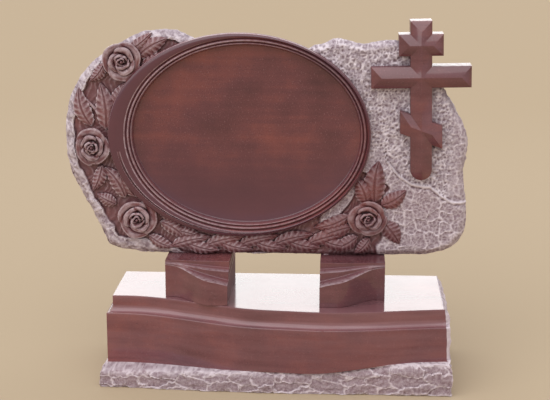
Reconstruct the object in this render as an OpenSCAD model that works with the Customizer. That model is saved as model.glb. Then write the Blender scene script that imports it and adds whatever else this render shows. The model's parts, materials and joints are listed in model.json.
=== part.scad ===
// Double memorial headstone in red granite: a carved stele with an oval panel, roses, leaves and a
// three-bar cross, on two ogee support blocks, on a base with a wavy polished front.
// Millimetres, +Z up. The front faces -Y. The origin is the centre of the base's underside.

/* [Base] */
// Width of the base's sawn top, from end to end
base_w = 978; // [800:1:1200]
// Depth of the base's rough foot, from front to back
base_d = 410; // [360:1:500]
// Height of the base
base_h = 245; // [180:1:320]
// Height of the upper tier's upright band
tier_h = 34; // [15:1:60]
// Height of the cove moulding under the upper tier
cove_h = 15; // [8:1:30]
// How far the cove moulding stands out past the upper tier
cove_out = 17; // [8:1:30]
// Height of the rough foot in the middle of the front
foot_h = 62; // [35:1:85]
// How far the rough foot stands out past the left end of the sawn top
foot_left = 28; // [18:1:45]
// How far the rough foot stands out past the right end of the sawn top
foot_right = 26; // [10:1:40]
// How far the wavy front bulges past its set-back left end
wave_out = 133; // [60:1:160]

/* [Supports] */
// Width of each support block
support_w = 190; // [120:1:240]
// Height of each support block
support_h = 112; // [60:1:180]
// Depth of each support block at its top
support_d = 212; // [140:1:240]
// Distance between the centres of the two support blocks
support_pitch = 457; // [400:1:560]
// How far the pair of blocks stands to the left of the base's middle
support_shift = 5; // [0:1:30]
// How far the inner half of a support's foot stands forward of its top
ogee_out = 80; // [30:1:90]
// Height of the lowest ledge above the foot, on the inner side
ledge_low = 62; // [50:1:75]
// Height of the upper ledge below the top, on the inner side
ledge_top = 19; // [12:1:28]

/* [Stele] */
// Width of the stele's slab
stele_w = 1190; // [1000:1:1450]
// Height of the slab's outline, without the oval frame's crown
stele_h = 672; // [560:1:800]
// Thickness of the slab behind its carved field
slab_t = 80; // [60:1:120]
// Width of the rough bevel around the front
bevel_w = 24; // [10:1:40]
// How far the slab's middle stands to the left of the base's middle
stele_shift = 38; // [0:1:60]

/* [Oval panel] */
// Half of the panel's width
panel_a = 334; // [250:1:380]
// Half of the panel's height
panel_b = 263; // [200:1:290]
// Height of the panel's face above the field
panel_rise = 6; // [2:1:15]
// Width of the frame at its narrow right end
frame_right = 30; // [26:1:50]
// Width of the frame at its broad left end
frame_left = 72; // [26:1:90]
// Width of the frame above the panel
frame_top = 34; // [26:1:60]
// Width of the frame below the panel
frame_bottom = 38; // [26:1:60]
// Height of the frame's face above the field
frame_rise = 30; // [15:1:45]

/* [Cross] */
// Height of the cross
cross_h = 463; // [350:1:550]
// Width of each bar's face
bar_w = 62; // [40:1:75]
// Length of the main bar
main_len = 287; // [220:1:340]
// Length of the upper bar
upper_len = 127; // [100:1:180]
// Length of the slanted lower bar, measured level
lower_len = 122; // [100:1:170]
// Depth from the cross's top down to the upper bar's middle line
upper_drop = 69; // [45:1:90]
// Depth from the cross's top down to the main bar's middle line
main_drop = 161; // [130:1:190]
// Depth from the cross's top down to the slanted bar's middle line
lower_drop = 314; // [260:1:360]
// Slope of the lower bar in degrees
lower_slope = 21; // [10:1:30]
// Lean of the whole cross in degrees
cross_lean = 1.3; // [0:0.1:3]
// Height of the bars' middle ridge above the field
cross_rise = 48; // [35:1:60]
// Height of the roofs on the bars
roof_h = 20; // [8:1:30]
// Depth of the cross behind the field
cross_back = 38; // [20:1:60]

/* [Roses and leaves] */
// Radius of the largest rose
rose_r = 56; // [40:1:70]
// Height of the roses' outer petals above the field
rose_rise = 34; // [20:1:45]
// Height of the leaves' midribs above the field
leaf_rise = 20; // [8:1:30]

/* [Hidden] */
granite = "#7d504b";
rough_granite = "#a08c92";

// Depth from the origin to the carved field's plane, and how far other parts sit from it
field_y = 15;
support_back = 152;                 // the supports' back face
support_front = support_back - support_d;
field_step = 5;                     // height of the step across the rough field

// The carved face is drawn lying flat, x to the right and y up, and its heights run along z.
stele_low = base_h + support_h;     // height of the slab's sawn seat
face_x = -stele_shift;
panel_x = -0.045 * stele_w;         // panel's centre, from the middle of the slab
panel_y = 0.548 * stele_h;          // panel's centre, above the slab's seat
cross_x = 0.379 * stele_w;
cross_y = 0.805 * stele_h;          // height of the main bar's middle line above the seat

// ---- curves -------------------------------------------------------------------------------------

// One point of a Catmull-Rom curve between p1 and p2
function spline_point(p0, p1, p2, p3, t) =
    0.5 * (2 * p1 + (p2 - p0) * t + (2 * p0 - 5 * p1 + 4 * p2 - p3) * t * t
           + (3 * p1 - p0 - 3 * p2 + p3) * t * t * t);

// A closed smooth curve through all the points, with n steps between two of them
function closed_curve(pts, n) = let (m = len(pts))
    [for (i = [0:m - 1], k = [0:n - 1])
        spline_point(pts[(i + m - 1) % m], pts[i], pts[(i + 1) % m], pts[(i + 2) % m], k / n)];

// Outward normals of a closed curve that runs counterclockwise
function normals(c) = let (m = len(c))
    [for (i = [0:m - 1]) let (d = c[(i + 1) % m] - c[(i + m - 1) % m], l = max(norm(d), 0.001))
        [d[1], -d[0]] / l];

// Smooth step from 0 to 1
function ease(t) = let (u = min(max(t, 0), 1)) u * u * (3 - 2 * u);

// The middle of a ring's own box
function middle(ring) = [for (k = [0:2]) (min([for (p = ring) p[k]]) + max([for (p = ring) p[k]])) / 2];

// A closed solid through rings of points, stacked one after another. Every ring has as many points
// as the first, and runs counterclockwise when the last ring is looked at from beyond it. Each end
// is closed by a fan from its middle.
module stacked(rings) {
    n = len(rings[0]);
    m = len(rings);
    sides = [for (r = [0:m - 2], i = [0:n - 1]) let (a = r * n + i, b = r * n + (i + 1) % n)
        each [[a, a + n, b + n], [a, b + n, b]]];
    ends = [for (i = [0:n - 1]) let (j = (i + 1) % n)
        each [[m * n, i, j], [m * n + 1, (m - 1) * n + j, (m - 1) * n + i]]];
    polyhedron(points = concat([for (r = rings) each r], [middle(rings[0]), middle(rings[m - 1])]),
        faces = concat(sides, ends), convexity = 8);
}

// ---- base ---------------------------------------------------------------------------------------

// The front's wave: how far it stands forward of the left end, at a share s of the width, which
// swells out to the middle and eases back a little towards the right end
function wave(s) = wave_out * (0.90 * ease((s - 0.04) / 0.46) + 0.10 * ease((s - 0.45) / 0.20)
                               - 0.42 * ease((s - 0.64) / 0.48));
top_shift = (foot_left - foot_right) / 2;   // sets the foot's middle over the origin
top_inset = 13;                             // the foot's front line to the foremost point of the wave
tier_front = -base_d / 2 + wave_out + top_inset;
base_left = -base_w / 2 + top_shift;
base_right = base_w / 2 + top_shift;
front_steps = 26;
foot_taper = 26;                            // how far the foot's front draws back at its left end
foot_inset = 8;                             // how far the foot's upper edge draws in

// Height of the polished face's lower edge at a share s of the width
function foot_line(s) = foot_h * (0.80 + 0.22 * ease(s / 0.5) + 0.55 * ease((s - 0.58) / 0.36));

// Small uneven swellings of a rough face
function rough(u, v) = sin(u * 2.1 + v * 70) + 0.7 * sin(u * 5.3 - v * 45) + 0.4 * sin(u * 11.7 + v * 110);

// Front of the polished tiers at a share s of the width, out past the upper tier
function wave_front(s, out) = tier_front - wave(s) - out;

// Front of the rough foot at a share s of the width, set back by inset
function foot_front(s, inset, bump) = inset - base_d / 2 + foot_taper * (1 - ease(s / 0.45))
    + bump * rough(s * base_w, inset);

// A ring around the base from the points of its front: along the right end, the back and the left
// end. level is the height of each front point, and bump is how uneven the rough ends are.
side_steps = 6;
back_steps = 8;
function close_ring(front, back_y, bump) = let (
        n = len(front) - 1, a = front[0], b = front[n])
    concat(front,
        [for (k = [1:side_steps]) let (t = k / (side_steps + 1))
            [b[0] + bump * rough(k * 70, b[2]), b[1] + (back_y - b[1]) * t, b[2]]],
        [for (k = [0:back_steps]) let (t = k / back_steps)
            [b[0] + (a[0] - b[0]) * t, back_y + bump * rough(k * 60, b[2]), b[2] + (a[2] - b[2]) * t]],
        [for (k = [side_steps:-1:1]) let (t = k / (side_steps + 1))
            [a[0] - bump * rough(k * 50, a[2]), a[1] + (back_y - a[1]) * t, a[2]]]);

// A ring of the rough foot and a ring of the polished tiers
function foot_ring(inset, level, bump) = close_ring(
    [for (k = [0:front_steps]) let (s = k / front_steps,
            x = base_left - foot_left + inset + (base_w + foot_left + foot_right - 2 * inset) * s)
        [x, foot_front(s, inset, bump), level[0] + level[1] * foot_line(s)]],
    base_d / 2 - inset, bump);
function tier_ring(out, right_out, level) = close_ring(
    [for (k = [0:front_steps]) let (s = k / front_steps)
        [base_left - out + (base_w + out + right_out) * s, wave_front(s, out), level[0] + level[1] * foot_line(s)]],
    base_d / 2 - foot_inset - 4, 0);

module base() {
    cove_low = base_h - tier_h - cove_h;
    color(granite)
    stacked([
        foot_ring(6, [0, 0], 0),
        foot_ring(3, [14, 0], 2.5),
        foot_ring(3, [10, 0.5], 3),
        foot_ring(foot_inset, [0, 0.9], 2.5),
        tier_ring(cove_out, 6, [0, 1]),
        tier_ring(cove_out, 2, [cove_low - 3, 0]),
        tier_ring(cove_out - 2, 1, [cove_low, 0]),
        tier_ring(cove_out * 0.55, 0.5, [cove_low + cove_h * 0.25, 0]),
        tier_ring(cove_out * 0.2, 0.2, [cove_low + cove_h * 0.6, 0]),
        tier_ring(0, 0, [base_h - tier_h, 0]),
        tier_ring(0, 0, [base_h, 0])]);
}

// ---- supports -----------------------------------------------------------------------------------

// The block's front is an ogee: its inner half stands forward and its outer half is set back. Three
// layers lie over each other, each further forward than the one above, with fanned ledges between.
function ogee(u) = ease((u - 0.12) / 0.62);

// Front of one layer at a share u from the outer to the inner side, and how far it stands forward
function layer_front(u, out) = support_front - 4 - out * ogee(u);

// One ring around a block: the front from the outer to the inner side, then the inner side, the
// back and the outer side. front and level are lists with one value for each point of the front.
ogee_steps = 14;
function block_ring(front, level, flat) = concat(
    [for (k = [0:ogee_steps]) [-support_w / 2 + support_w * k / ogee_steps, front[k], level[k]]],
    [for (k = [1:3]) [support_w / 2, front[ogee_steps] + (support_back - front[ogee_steps]) * k / 3, flat]],
    [for (k = [0:2]) [-support_w / 2, support_back + (front[0] - support_back) * k / 3, flat]]);

module support() {
    u = [for (k = [0:ogee_steps]) k / ogee_steps];
    foot_front = [for (t = u) layer_front(t, ogee_out)];
    mid_front = [for (t = u) layer_front(t, ogee_out * 0.42)];
    top_front = [for (t = u) layer_front(t, ogee_out * 0.08) + 3];
    // heights of the two ledges: they meet near the outer top and fan down towards the inner side
    low = [for (t = u) support_h - 11 - (support_h - ledge_low - 11) * pow(t, 1.35)];
    high = [for (t = u) support_h - 5 - (ledge_top - 5) * pow(t, 1.2)];
    chamfer = [for (t = u) 1.5 + 9 * pow(sin(180 * min(t * 1.05, 1)), 2)];
    zero = [for (t = u) 0];
    stacked([
        block_ring(foot_front, zero, 0),
        block_ring(foot_front, low - chamfer, ledge_low * 0.6),
        block_ring([for (k = [0:ogee_steps]) mid_front[k] - 1.5], low + [for (t = u) 2], ledge_low),
        block_ring(mid_front, high - [for (t = u) 4], support_h * 0.8),
        block_ring([for (k = [0:ogee_steps]) top_front[k] - 1], high, support_h * 0.9),
        block_ring(top_front, [for (t = u) support_h], support_h)]);
}

module right_support() {
    color(granite)
    translate([support_pitch / 2 - support_shift, 0, base_h])
    mirror([1, 0, 0]) support();
}

module left_support() {
    color(granite)
    translate([-support_pitch / 2 - support_shift, 0, base_h]) support();
}

// ---- stele --------------------------------------------------------------------------------------

// The slab's outline, from the seat's left end counterclockwise, in shares of its width from the
// middle and of its height from the seat. The oval frame makes the crown that it leaves out.
slab_outline = [
    [-0.330, 0.004], [-0.180, -0.012], [0.000, -0.006], [0.150, -0.010], [0.330, 0.002],
    [0.430, 0.014], [0.484, 0.070], [0.500, 0.160], [0.497, 0.300], [0.491, 0.375], [0.499, 0.490],
    [0.492, 0.580], [0.460, 0.690], [0.425, 0.780], [0.375, 0.880], [0.325, 0.957], [0.236, 0.946],
    [0.183, 0.963], [0.130, 0.940], [0.060, 0.900], [-0.130, 0.920], [-0.176, 0.965],
    [-0.217, 0.996], [-0.260, 1.000], [-0.310, 0.980], [-0.407, 0.885], [-0.472, 0.746],
    [-0.500, 0.540], [-0.486, 0.375], [-0.444, 0.212], [-0.413, 0.102], [-0.390, 0.028]];
outline_steps = 2;

// The outline drawn in by an inset, with uneven chips along it
function slab_ring(inset, chips, h) = let (
        c = closed_curve([for (p = slab_outline) [p[0] * stele_w, p[1] * stele_h]], outline_steps),
        n = normals(c))
    [for (i = [0:len(c) - 1]) let (q = c[i] - n[i] * (inset + chips * rough(i * 23, inset * 0.02)))
        [q[0], q[1], h]];

module slab() {
    intersection() {
        stacked([
            slab_ring(8, 1, -slab_t),
            slab_ring(1, 2, -slab_t + 12),
            slab_ring(2, 2, -bevel_w * 1.4),
            slab_ring(bevel_w * 0.4, 3, -bevel_w * 0.45),
            slab_ring(bevel_w, 3, 0)]);
        translate([-stele_w, 0, -2 * slab_t]) cube([2 * stele_w, 2 * stele_h, 3 * slab_t]);
    }
}

// A point of the oval, w outside the panel's edge, where w may not be more than the frame's width
oval_steps = 48;
oval_shift_x = (frame_right - frame_left) / 2;
oval_shift_y = (frame_top - frame_bottom) / 2;
function oval_ring(w, h) = [for (i = [0:oval_steps - 1]) let (a = 360 * i / oval_steps)
    [(panel_a + w) * cos(a), (panel_b + w) * sin(a), h]];
function frame_edge(inset, h) = [for (i = [0:oval_steps - 1]) let (a = 360 * i / oval_steps)
    [oval_shift_x + (panel_a + (frame_right + frame_left) / 2 - inset) * cos(a),
     oval_shift_y + (panel_b + (frame_top + frame_bottom) / 2 - inset) * sin(a), h]];

// The moulded frame, from its back up round its outer edge and down its beads to the panel's face
module oval_frame() {
    translate([panel_x, panel_y, 0])
    stacked([
        frame_edge(8, -slab_t),
        frame_edge(0, -slab_t + 10),
        frame_edge(0, frame_rise - 6),
        frame_edge(3, frame_rise),
        oval_ring(23, frame_rise),
        oval_ring(18, frame_rise - 5),
        oval_ring(12, frame_rise - 1),
        oval_ring(8, frame_rise - 6),
        oval_ring(4, frame_rise - 3),
        oval_ring(0, frame_rise - 8),
        oval_ring(-1, panel_rise)]);
}

// One bar of the cross: a straight body under a roof hipped at both ends. slope leans it, with its
// ends kept upright.
module bar(len, slope = 0) {
    drop = tan(slope) * len / 2;
    half = bar_w / 2 / cos(slope);
    hull() {
        translate([0, 0, -cross_back])
        linear_extrude(cross_back + cross_rise - roof_h)
        polygon([[-len / 2, drop - half], [len / 2, -drop - half], [len / 2, -drop + half], [-len / 2, drop + half]]);
        translate([0, 0, cross_rise - 1])
        linear_extrude(1)
        polygon([[-len / 2 + bar_w / 2, drop * (1 - bar_w / len) - 0.5], [len / 2 - bar_w / 2, -drop * (1 - bar_w / len) - 0.5],
                 [len / 2 - bar_w / 2, -drop * (1 - bar_w / len) + 0.5], [-len / 2 + bar_w / 2, drop * (1 - bar_w / len) + 0.5]]);
    }
}

module cross() {
    translate([cross_x, cross_y, 0])
    rotate(cross_lean) {
        translate([0, main_drop - cross_h / 2, 0]) rotate(90) bar(cross_h);
        bar(main_len);
        translate([0, main_drop - upper_drop, 0]) bar(upper_len);
        translate([0, main_drop - lower_drop, 0]) bar(lower_len, lower_slope);
    }
}

// A leaf from its stalk at p to its tip at q: a ridged blade w wide, bowed sideways by bow
leaf_steps = 5;
function leaf_half(w, t) = w / 2 * pow(sin(180 * pow(t, 0.8)), 0.8) + 0.4;
module leaf(p, q, w, bow = 0, rise = leaf_rise) {
    along = (q - p) / norm(q - p);
    side = [-along[1], along[0]];
    rings = [for (k = [0:leaf_steps]) let (t = k / leaf_steps, half = leaf_half(w, t),
            c = p + (q - p) * t + side * bow * sin(180 * t), s = side * half,
            h = rise * (0.55 + 0.45 * sin(180 * t)))
        [[c[0] + s[0], c[1] + s[1], h * 0.5], [c[0], c[1], h], [c[0] - s[0], c[1] - s[1], h * 0.5],
         [c[0], c[1], -8]]];
    stacked(rings);
}

// One curled petal: part of a leaning wall round the rose's heart
module petal(r, rise, thick, turn, span) {
    rotate(turn)
    rotate_extrude(angle = span, $fn = 12)
    polygon([[r - thick * 1.6, -2], [r - thick * 0.2, rise], [r + thick * 0.4, rise * 0.9], [r, -2]]);
}

// A rose: whorls of petals round a bud, standing on a low boss. size scales it and stretch draws
// it out upwards.
module rose(at, size = 1, turn = 0, stretch = 1) {
    translate([at[0], at[1], 0])
    scale([size, size * stretch, 1])
    rotate(turn) {
        hull() {
            translate([0, 0, -2]) cylinder(h = 1, r = rose_r * 0.95, $fn = 12);
            cylinder(h = rose_rise * 0.45, r = rose_r * 0.8, $fn = 12);
        }
        for (k = [0:2]) petal(rose_r, rose_rise, rose_r * 0.14, k * 120, 108);
        for (k = [0:2]) petal(rose_r * 0.68, rose_rise * 1.05, rose_r * 0.12, 60 + k * 120, 104);
        hull() {
            cylinder(h = rose_rise, r = rose_r * 0.36, $fn = 8);
            cylinder(h = rose_rise * 1.2, r = rose_r * 0.15, $fn = 8);
        }
    }
}

// A place on the face: shares of the slab's width from its middle and of its height from its seat
function at(u, v) = [u * stele_w, v * stele_h];

module flowers() {
    rose(at(-0.347, 0.862), 1.0, 30);
    rose(at(-0.427, 0.484), 0.86, 80, 1.12);
    rose(at(-0.318, 0.163), 1.0, 0);
    rose(at(0.257, 0.177), 0.98, 50, 0.92);
}

module leaves() {
    // round the upper left rose
    leaf(at(-0.305, 0.880), at(-0.250, 0.955), 42, 6);
    leaf(at(-0.330, 0.900), at(-0.275, 0.985), 34, -4);
    // between the two left roses
    leaf(at(-0.425, 0.600), at(-0.452, 0.735), 40, 10);
    leaf(at(-0.390, 0.560), at(-0.400, 0.740), 50, -8);
    leaf(at(-0.370, 0.660), at(-0.352, 0.755), 36, 4);
    // between the middle left and lower left roses
    leaf(at(-0.405, 0.400), at(-0.422, 0.300), 34, 6);
    leaf(at(-0.350, 0.260), at(-0.392, 0.385), 44, -10);
    leaf(at(-0.330, 0.250), at(-0.362, 0.405), 36, 8);
    leaf(at(-0.300, 0.240), at(-0.345, 0.300), 26, 0);
    // the garland under the frame
    leaf(at(-0.265, 0.150), at(-0.215, 0.085), 40, 8);
    for (k = [0:4]) {
        leaf(at(-0.235 + 0.085 * k, 0.038 + 0.004 * k), at(-0.135 + 0.085 * k, 0.078 + 0.006 * k), 36, 6);
        leaf(at(-0.205 + 0.085 * k, 0.060 + 0.004 * k), at(-0.120 + 0.085 * k, 0.022 + 0.006 * k), 34, -5);
    }
    leaf(at(0.215, 0.150), at(0.155, 0.165), 34, 5);
    // round the lower right rose
    leaf(at(0.272, 0.245), at(0.280, 0.420), 58, 6);
    leaf(at(0.262, 0.240), at(0.235, 0.355), 44, -6);
    leaf(at(0.285, 0.235), at(0.345, 0.300), 40, -5);
    leaf(at(0.290, 0.170), at(0.333, 0.075), 50, 5);
}

// The lower right of the field stands a step proud of the upper part, below a curved line
module lower_field() {
    line = closed_curve([at(0.290, 0.560), at(0.286, 0.420), at(0.250, 0.300), at(0.280, 0.060),
        at(0.430, 0.060), at(0.462, 0.130), at(0.466, 0.240), at(0.434, 0.284), at(0.406, 0.326),
        at(0.362, 0.333), at(0.331, 0.369), at(0.300, 0.436)], 2);
    translate([0, 0, -2]) linear_extrude(field_step + 2) polygon(line);
}

module stele() {
    color(rough_granite)
    translate([face_x, field_y, stele_low])
    rotate([90, 0, 0])
    union() {
        slab();
        oval_frame();
        lower_field();
        cross();
        flowers();
        leaves();
    }
}

base();
left_support();
right_support();
stele();
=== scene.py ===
# %% [markdown]
# # A red granite memorial
# This lesson builds a wide headstone: a carved slab with an oval panel, roses, leaves and a three-bar
# cross, two shaped blocks that carry it, and a base with a wavy polished front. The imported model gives
# every stone its size and place. Each stone is made again here as one closed mesh with finer carving.

# %% Load the frame
import json
import math

import bpy
import numpy as np
from mathutils import Vector
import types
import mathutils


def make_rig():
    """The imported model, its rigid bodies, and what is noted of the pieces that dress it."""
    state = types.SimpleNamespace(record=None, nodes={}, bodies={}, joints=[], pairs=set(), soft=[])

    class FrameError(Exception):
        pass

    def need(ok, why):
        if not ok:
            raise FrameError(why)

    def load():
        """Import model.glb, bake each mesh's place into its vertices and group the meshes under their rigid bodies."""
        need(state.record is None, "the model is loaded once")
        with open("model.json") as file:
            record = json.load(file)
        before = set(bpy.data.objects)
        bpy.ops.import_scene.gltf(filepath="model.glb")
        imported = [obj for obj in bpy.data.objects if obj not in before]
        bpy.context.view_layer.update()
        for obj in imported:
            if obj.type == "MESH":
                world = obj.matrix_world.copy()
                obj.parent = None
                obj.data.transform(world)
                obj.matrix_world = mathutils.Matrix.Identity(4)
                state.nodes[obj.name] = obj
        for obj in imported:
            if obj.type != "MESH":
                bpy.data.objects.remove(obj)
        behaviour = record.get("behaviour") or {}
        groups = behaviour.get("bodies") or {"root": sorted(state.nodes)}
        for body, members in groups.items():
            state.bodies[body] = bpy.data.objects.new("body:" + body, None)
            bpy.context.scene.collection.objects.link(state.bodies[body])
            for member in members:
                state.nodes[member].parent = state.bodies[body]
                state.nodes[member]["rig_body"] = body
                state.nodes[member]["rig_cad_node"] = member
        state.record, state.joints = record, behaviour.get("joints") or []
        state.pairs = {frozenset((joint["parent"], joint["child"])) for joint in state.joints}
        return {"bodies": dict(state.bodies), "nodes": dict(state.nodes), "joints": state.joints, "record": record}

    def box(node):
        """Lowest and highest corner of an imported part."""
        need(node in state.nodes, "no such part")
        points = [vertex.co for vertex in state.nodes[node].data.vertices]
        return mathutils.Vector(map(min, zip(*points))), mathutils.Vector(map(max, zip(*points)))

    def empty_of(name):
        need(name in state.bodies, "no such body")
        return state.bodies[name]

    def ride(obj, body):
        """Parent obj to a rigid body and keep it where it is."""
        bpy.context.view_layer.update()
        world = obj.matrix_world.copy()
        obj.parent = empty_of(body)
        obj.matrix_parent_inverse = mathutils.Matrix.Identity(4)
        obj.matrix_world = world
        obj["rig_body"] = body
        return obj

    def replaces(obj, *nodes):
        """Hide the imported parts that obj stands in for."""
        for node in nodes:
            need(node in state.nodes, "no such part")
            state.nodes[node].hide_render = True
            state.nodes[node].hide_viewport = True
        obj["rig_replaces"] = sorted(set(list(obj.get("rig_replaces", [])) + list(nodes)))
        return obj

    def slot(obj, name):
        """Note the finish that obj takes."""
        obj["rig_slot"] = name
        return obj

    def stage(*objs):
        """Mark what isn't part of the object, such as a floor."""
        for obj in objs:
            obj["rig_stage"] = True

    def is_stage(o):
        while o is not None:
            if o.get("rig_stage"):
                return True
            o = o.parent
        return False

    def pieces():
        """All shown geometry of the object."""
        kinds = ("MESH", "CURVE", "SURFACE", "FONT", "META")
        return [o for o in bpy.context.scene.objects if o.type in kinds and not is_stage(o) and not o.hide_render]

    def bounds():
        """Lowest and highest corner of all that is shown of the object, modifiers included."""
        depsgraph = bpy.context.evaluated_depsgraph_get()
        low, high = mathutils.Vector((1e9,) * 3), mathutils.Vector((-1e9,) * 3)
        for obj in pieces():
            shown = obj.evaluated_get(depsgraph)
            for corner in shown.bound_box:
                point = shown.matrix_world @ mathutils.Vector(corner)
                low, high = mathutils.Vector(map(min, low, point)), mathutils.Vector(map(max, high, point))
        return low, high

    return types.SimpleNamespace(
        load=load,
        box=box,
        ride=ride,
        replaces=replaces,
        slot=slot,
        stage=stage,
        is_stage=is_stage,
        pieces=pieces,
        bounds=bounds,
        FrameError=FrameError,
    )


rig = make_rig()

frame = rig.load()
cad_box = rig.bounds()
MM = 0.001


def node_box(name):
    """The lowest and the highest corner of a node, as two numpy points in metres."""
    low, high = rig.box(name)
    return np.array(low), np.array(high)


base_low, base_high = node_box("base")
stele_low, stele_high = node_box("stele")
print("stones:", sorted(frame["nodes"]), "overall box:", cad_box)

# %% [markdown]
# ## The camera
# The memorial is seen from a little above and a little to its right, with a long lens, so upright edges
# stay nearly upright. The camera comes first, because everything else is judged through it.

# %% Camera
LENS, SENSOR_WIDTH = 89.5, 36.0
CAMERA_AT = Vector((0.198, -3.918, 1.4705))
LOOK_DOWN, LOOK_LEFT = 13.5, 3.0
CAMERA_TURN = (math.radians(90 - LOOK_DOWN), 0.0, math.radians(LOOK_LEFT))

camera = bpy.data.objects.new("camera", bpy.data.cameras.new("camera"))
camera.data.lens = LENS
camera.data.sensor_width = SENSOR_WIDTH
camera.location = CAMERA_AT
camera.rotation_euler = CAMERA_TURN
bpy.context.scene.collection.objects.link(camera)
bpy.context.scene.camera = camera
print("camera at", [round(v, 3) for v in CAMERA_AT], "looks", LOOK_DOWN, "degrees down")

# %% [markdown]
# ## Uneven stone in numbers
# Split and chiselled stone is uneven at many sizes at once. A displacement texture could do it, but the
# same unevenness is needed for the shape and for the colour, so it is worked out here with numpy, for
# whole arrays of points at a time. Smooth noise gives the swellings.

# %% Noise
MASK = 0xFFFFFFFF


def scramble(i, j, k, seed):
    """A repeatable value from 0 to 1 for each whole-number place: the three numbers are multiplied by
    large odd numbers, mixed by exclusive-or, and the low bits are read off."""
    n = (i * 73856093) ^ (j * 19349663) ^ (k * 83492791) ^ (seed * 374761393)
    n = ((n & MASK) ^ ((n & MASK) >> 13)) * 1274126177 & MASK
    n = (n ^ (n >> 16)) * 668265263 & MASK
    return ((n ^ (n >> 15)) & 0xFFFF) / 65535.0


def ease(t):
    """Smooth step: 3t squared minus 2t cubed, with t held between 0 and 1."""
    t = np.clip(t, 0.0, 1.0)
    return t * t * (3.0 - 2.0 * t)


def noise(x, y, z, size, seed=0):
    """Smooth noise from -1 to 1: random values at the corners of cubes of one size, eased between."""
    p = [np.asarray(a, float) / size for a in (x, y, z)]
    p = np.broadcast_arrays(*p)
    cell = [np.floor(a).astype(np.int64) for a in p]
    t = [ease(a - c) for a, c in zip(p, cell)]
    total = 0.0
    for i in (0, 1):
        for j in (0, 1):
            for k in (0, 1):
                w = (t[0] if i else 1 - t[0]) * (t[1] if j else 1 - t[1]) * (t[2] if k else 1 - t[2])
                total = total + w * scramble(cell[0] + i, cell[1] + j, cell[2] + k, seed)
    return 2.0 * total - 1.0


def layered(x, y, z, size, seed=0, layers=3):
    """Noise added in layers: each is half the size and half the height of the one before."""
    return sum(noise(x, y, z, size / 2**n, seed + n) / 2**n for n in range(layers))


sample = noise(np.linspace(0, 1, 1001), 0, 0, 10 * MM)
print("noise along a metre: from", round(float(sample.min()), 2), "to", round(float(sample.max()), 2))

# %% [markdown]
# ## Flakes and the seams between them
# Struck granite breaks into flakes with raised seams between them, like cracked mud turned over. Cells
# round scattered centres make such a pattern: a seam runs where two centres are equally near.

# %% Cells and seams
def cells(x, y, size, seed=0):
    """Cracked-mud cells on a plane: for each point, the distance to the nearest and to the second
    nearest of the random centres, one in each square of the size given, and the nearest one's value."""
    x, y = np.broadcast_arrays(np.asarray(x, float) / size, np.asarray(y, float) / size)
    ci, cj = np.floor(x).astype(np.int64), np.floor(y).astype(np.int64)
    first = np.full(x.shape, 9.0)
    second = np.full(x.shape, 9.0)
    value = np.zeros(x.shape)
    for i in (-1, 0, 1):
        for j in (-1, 0, 1):
            a, b = ci + i, cj + j
            px = a + 0.1 + 0.8 * scramble(a, b, a * 0, seed)
            py = b + 0.1 + 0.8 * scramble(a, b, a * 0 + 1, seed)
            d = np.hypot(px - x, py - y)
            nearer = d < first
            second = np.where(nearer, first, np.minimum(second, d))
            value = np.where(nearer, scramble(a, b, a * 0 + 2, seed), value)
            first = np.where(nearer, d, first)
    return first, second, value


def seams(x, y, size, width, seed=0):
    """Raised seams between cells: 1 on the line between two cells, fading to 0 over the width."""
    first, second, _ = cells(x, y, size, seed)
    return np.exp(-(((second - first) * size / width) ** 2))


sample = seams(np.linspace(0, 1, 1001), 0, 40 * MM, 4 * MM)
print("share of a line that lies on a seam:", round(float((sample > 0.5).mean()), 3))

# %% [markdown]
# ## Meshes from arrays
# Most stones here are a stack of rings: each ring is the outline at one level, and neighbouring rings
# are joined by four-sided faces. The first and last ring are closed by a fan from their middle, so the
# surface has no holes. Lofting between curves could do it too, but arrays keep every ring in hand.

# %% Mesh helpers
def enclosed(mesh):
    """The volume a mesh encloses: a sixth of the sum of a . (b x c) over its triangles, and below 0
    where the faces look inwards."""
    mesh.calc_loop_triangles()
    corner = np.zeros(len(mesh.loop_triangles) * 3, np.int32)
    mesh.loop_triangles.foreach_get("vertices", corner)
    co = np.zeros(len(mesh.vertices) * 3, np.float32)
    mesh.vertices.foreach_get("co", co)
    a, b, c = co.astype(float).reshape(-1, 3)[corner.reshape(-1, 3)].transpose(1, 0, 2)
    return float((a * np.cross(b, c)).sum() / 6)


def link_mesh(name, points, faces, material=0):
    """An object from an array of points and a list of faces, which are turned to look outwards. The
    material is one slot for all faces, or a list with a slot for each."""
    mesh = bpy.data.meshes.new(name)
    mesh.from_pydata(points, [], faces)
    for m in MATERIALS:
        mesh.materials.append(m)
    slots = np.broadcast_to(np.asarray(material, np.int32), len(mesh.polygons))
    mesh.polygons.foreach_set("material_index", np.ascontiguousarray(slots))
    if enclosed(mesh) < 0:
        mesh.flip_normals()
    obj = bpy.data.objects.new(name, mesh)
    bpy.context.scene.collection.objects.link(obj)
    return obj


def grid_faces(rows, columns, closed):
    """Faces of a grid of points: rows by columns, with the columns closed into rings or left open."""
    r, c = np.meshgrid(np.arange(rows - 1), np.arange(columns if closed else columns - 1), indexing="ij")
    n = (c + 1) % columns
    quads = np.stack([r * columns + c, r * columns + n, (r + 1) * columns + n, (r + 1) * columns + c], -1)
    return quads.reshape(-1, 4)


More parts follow.
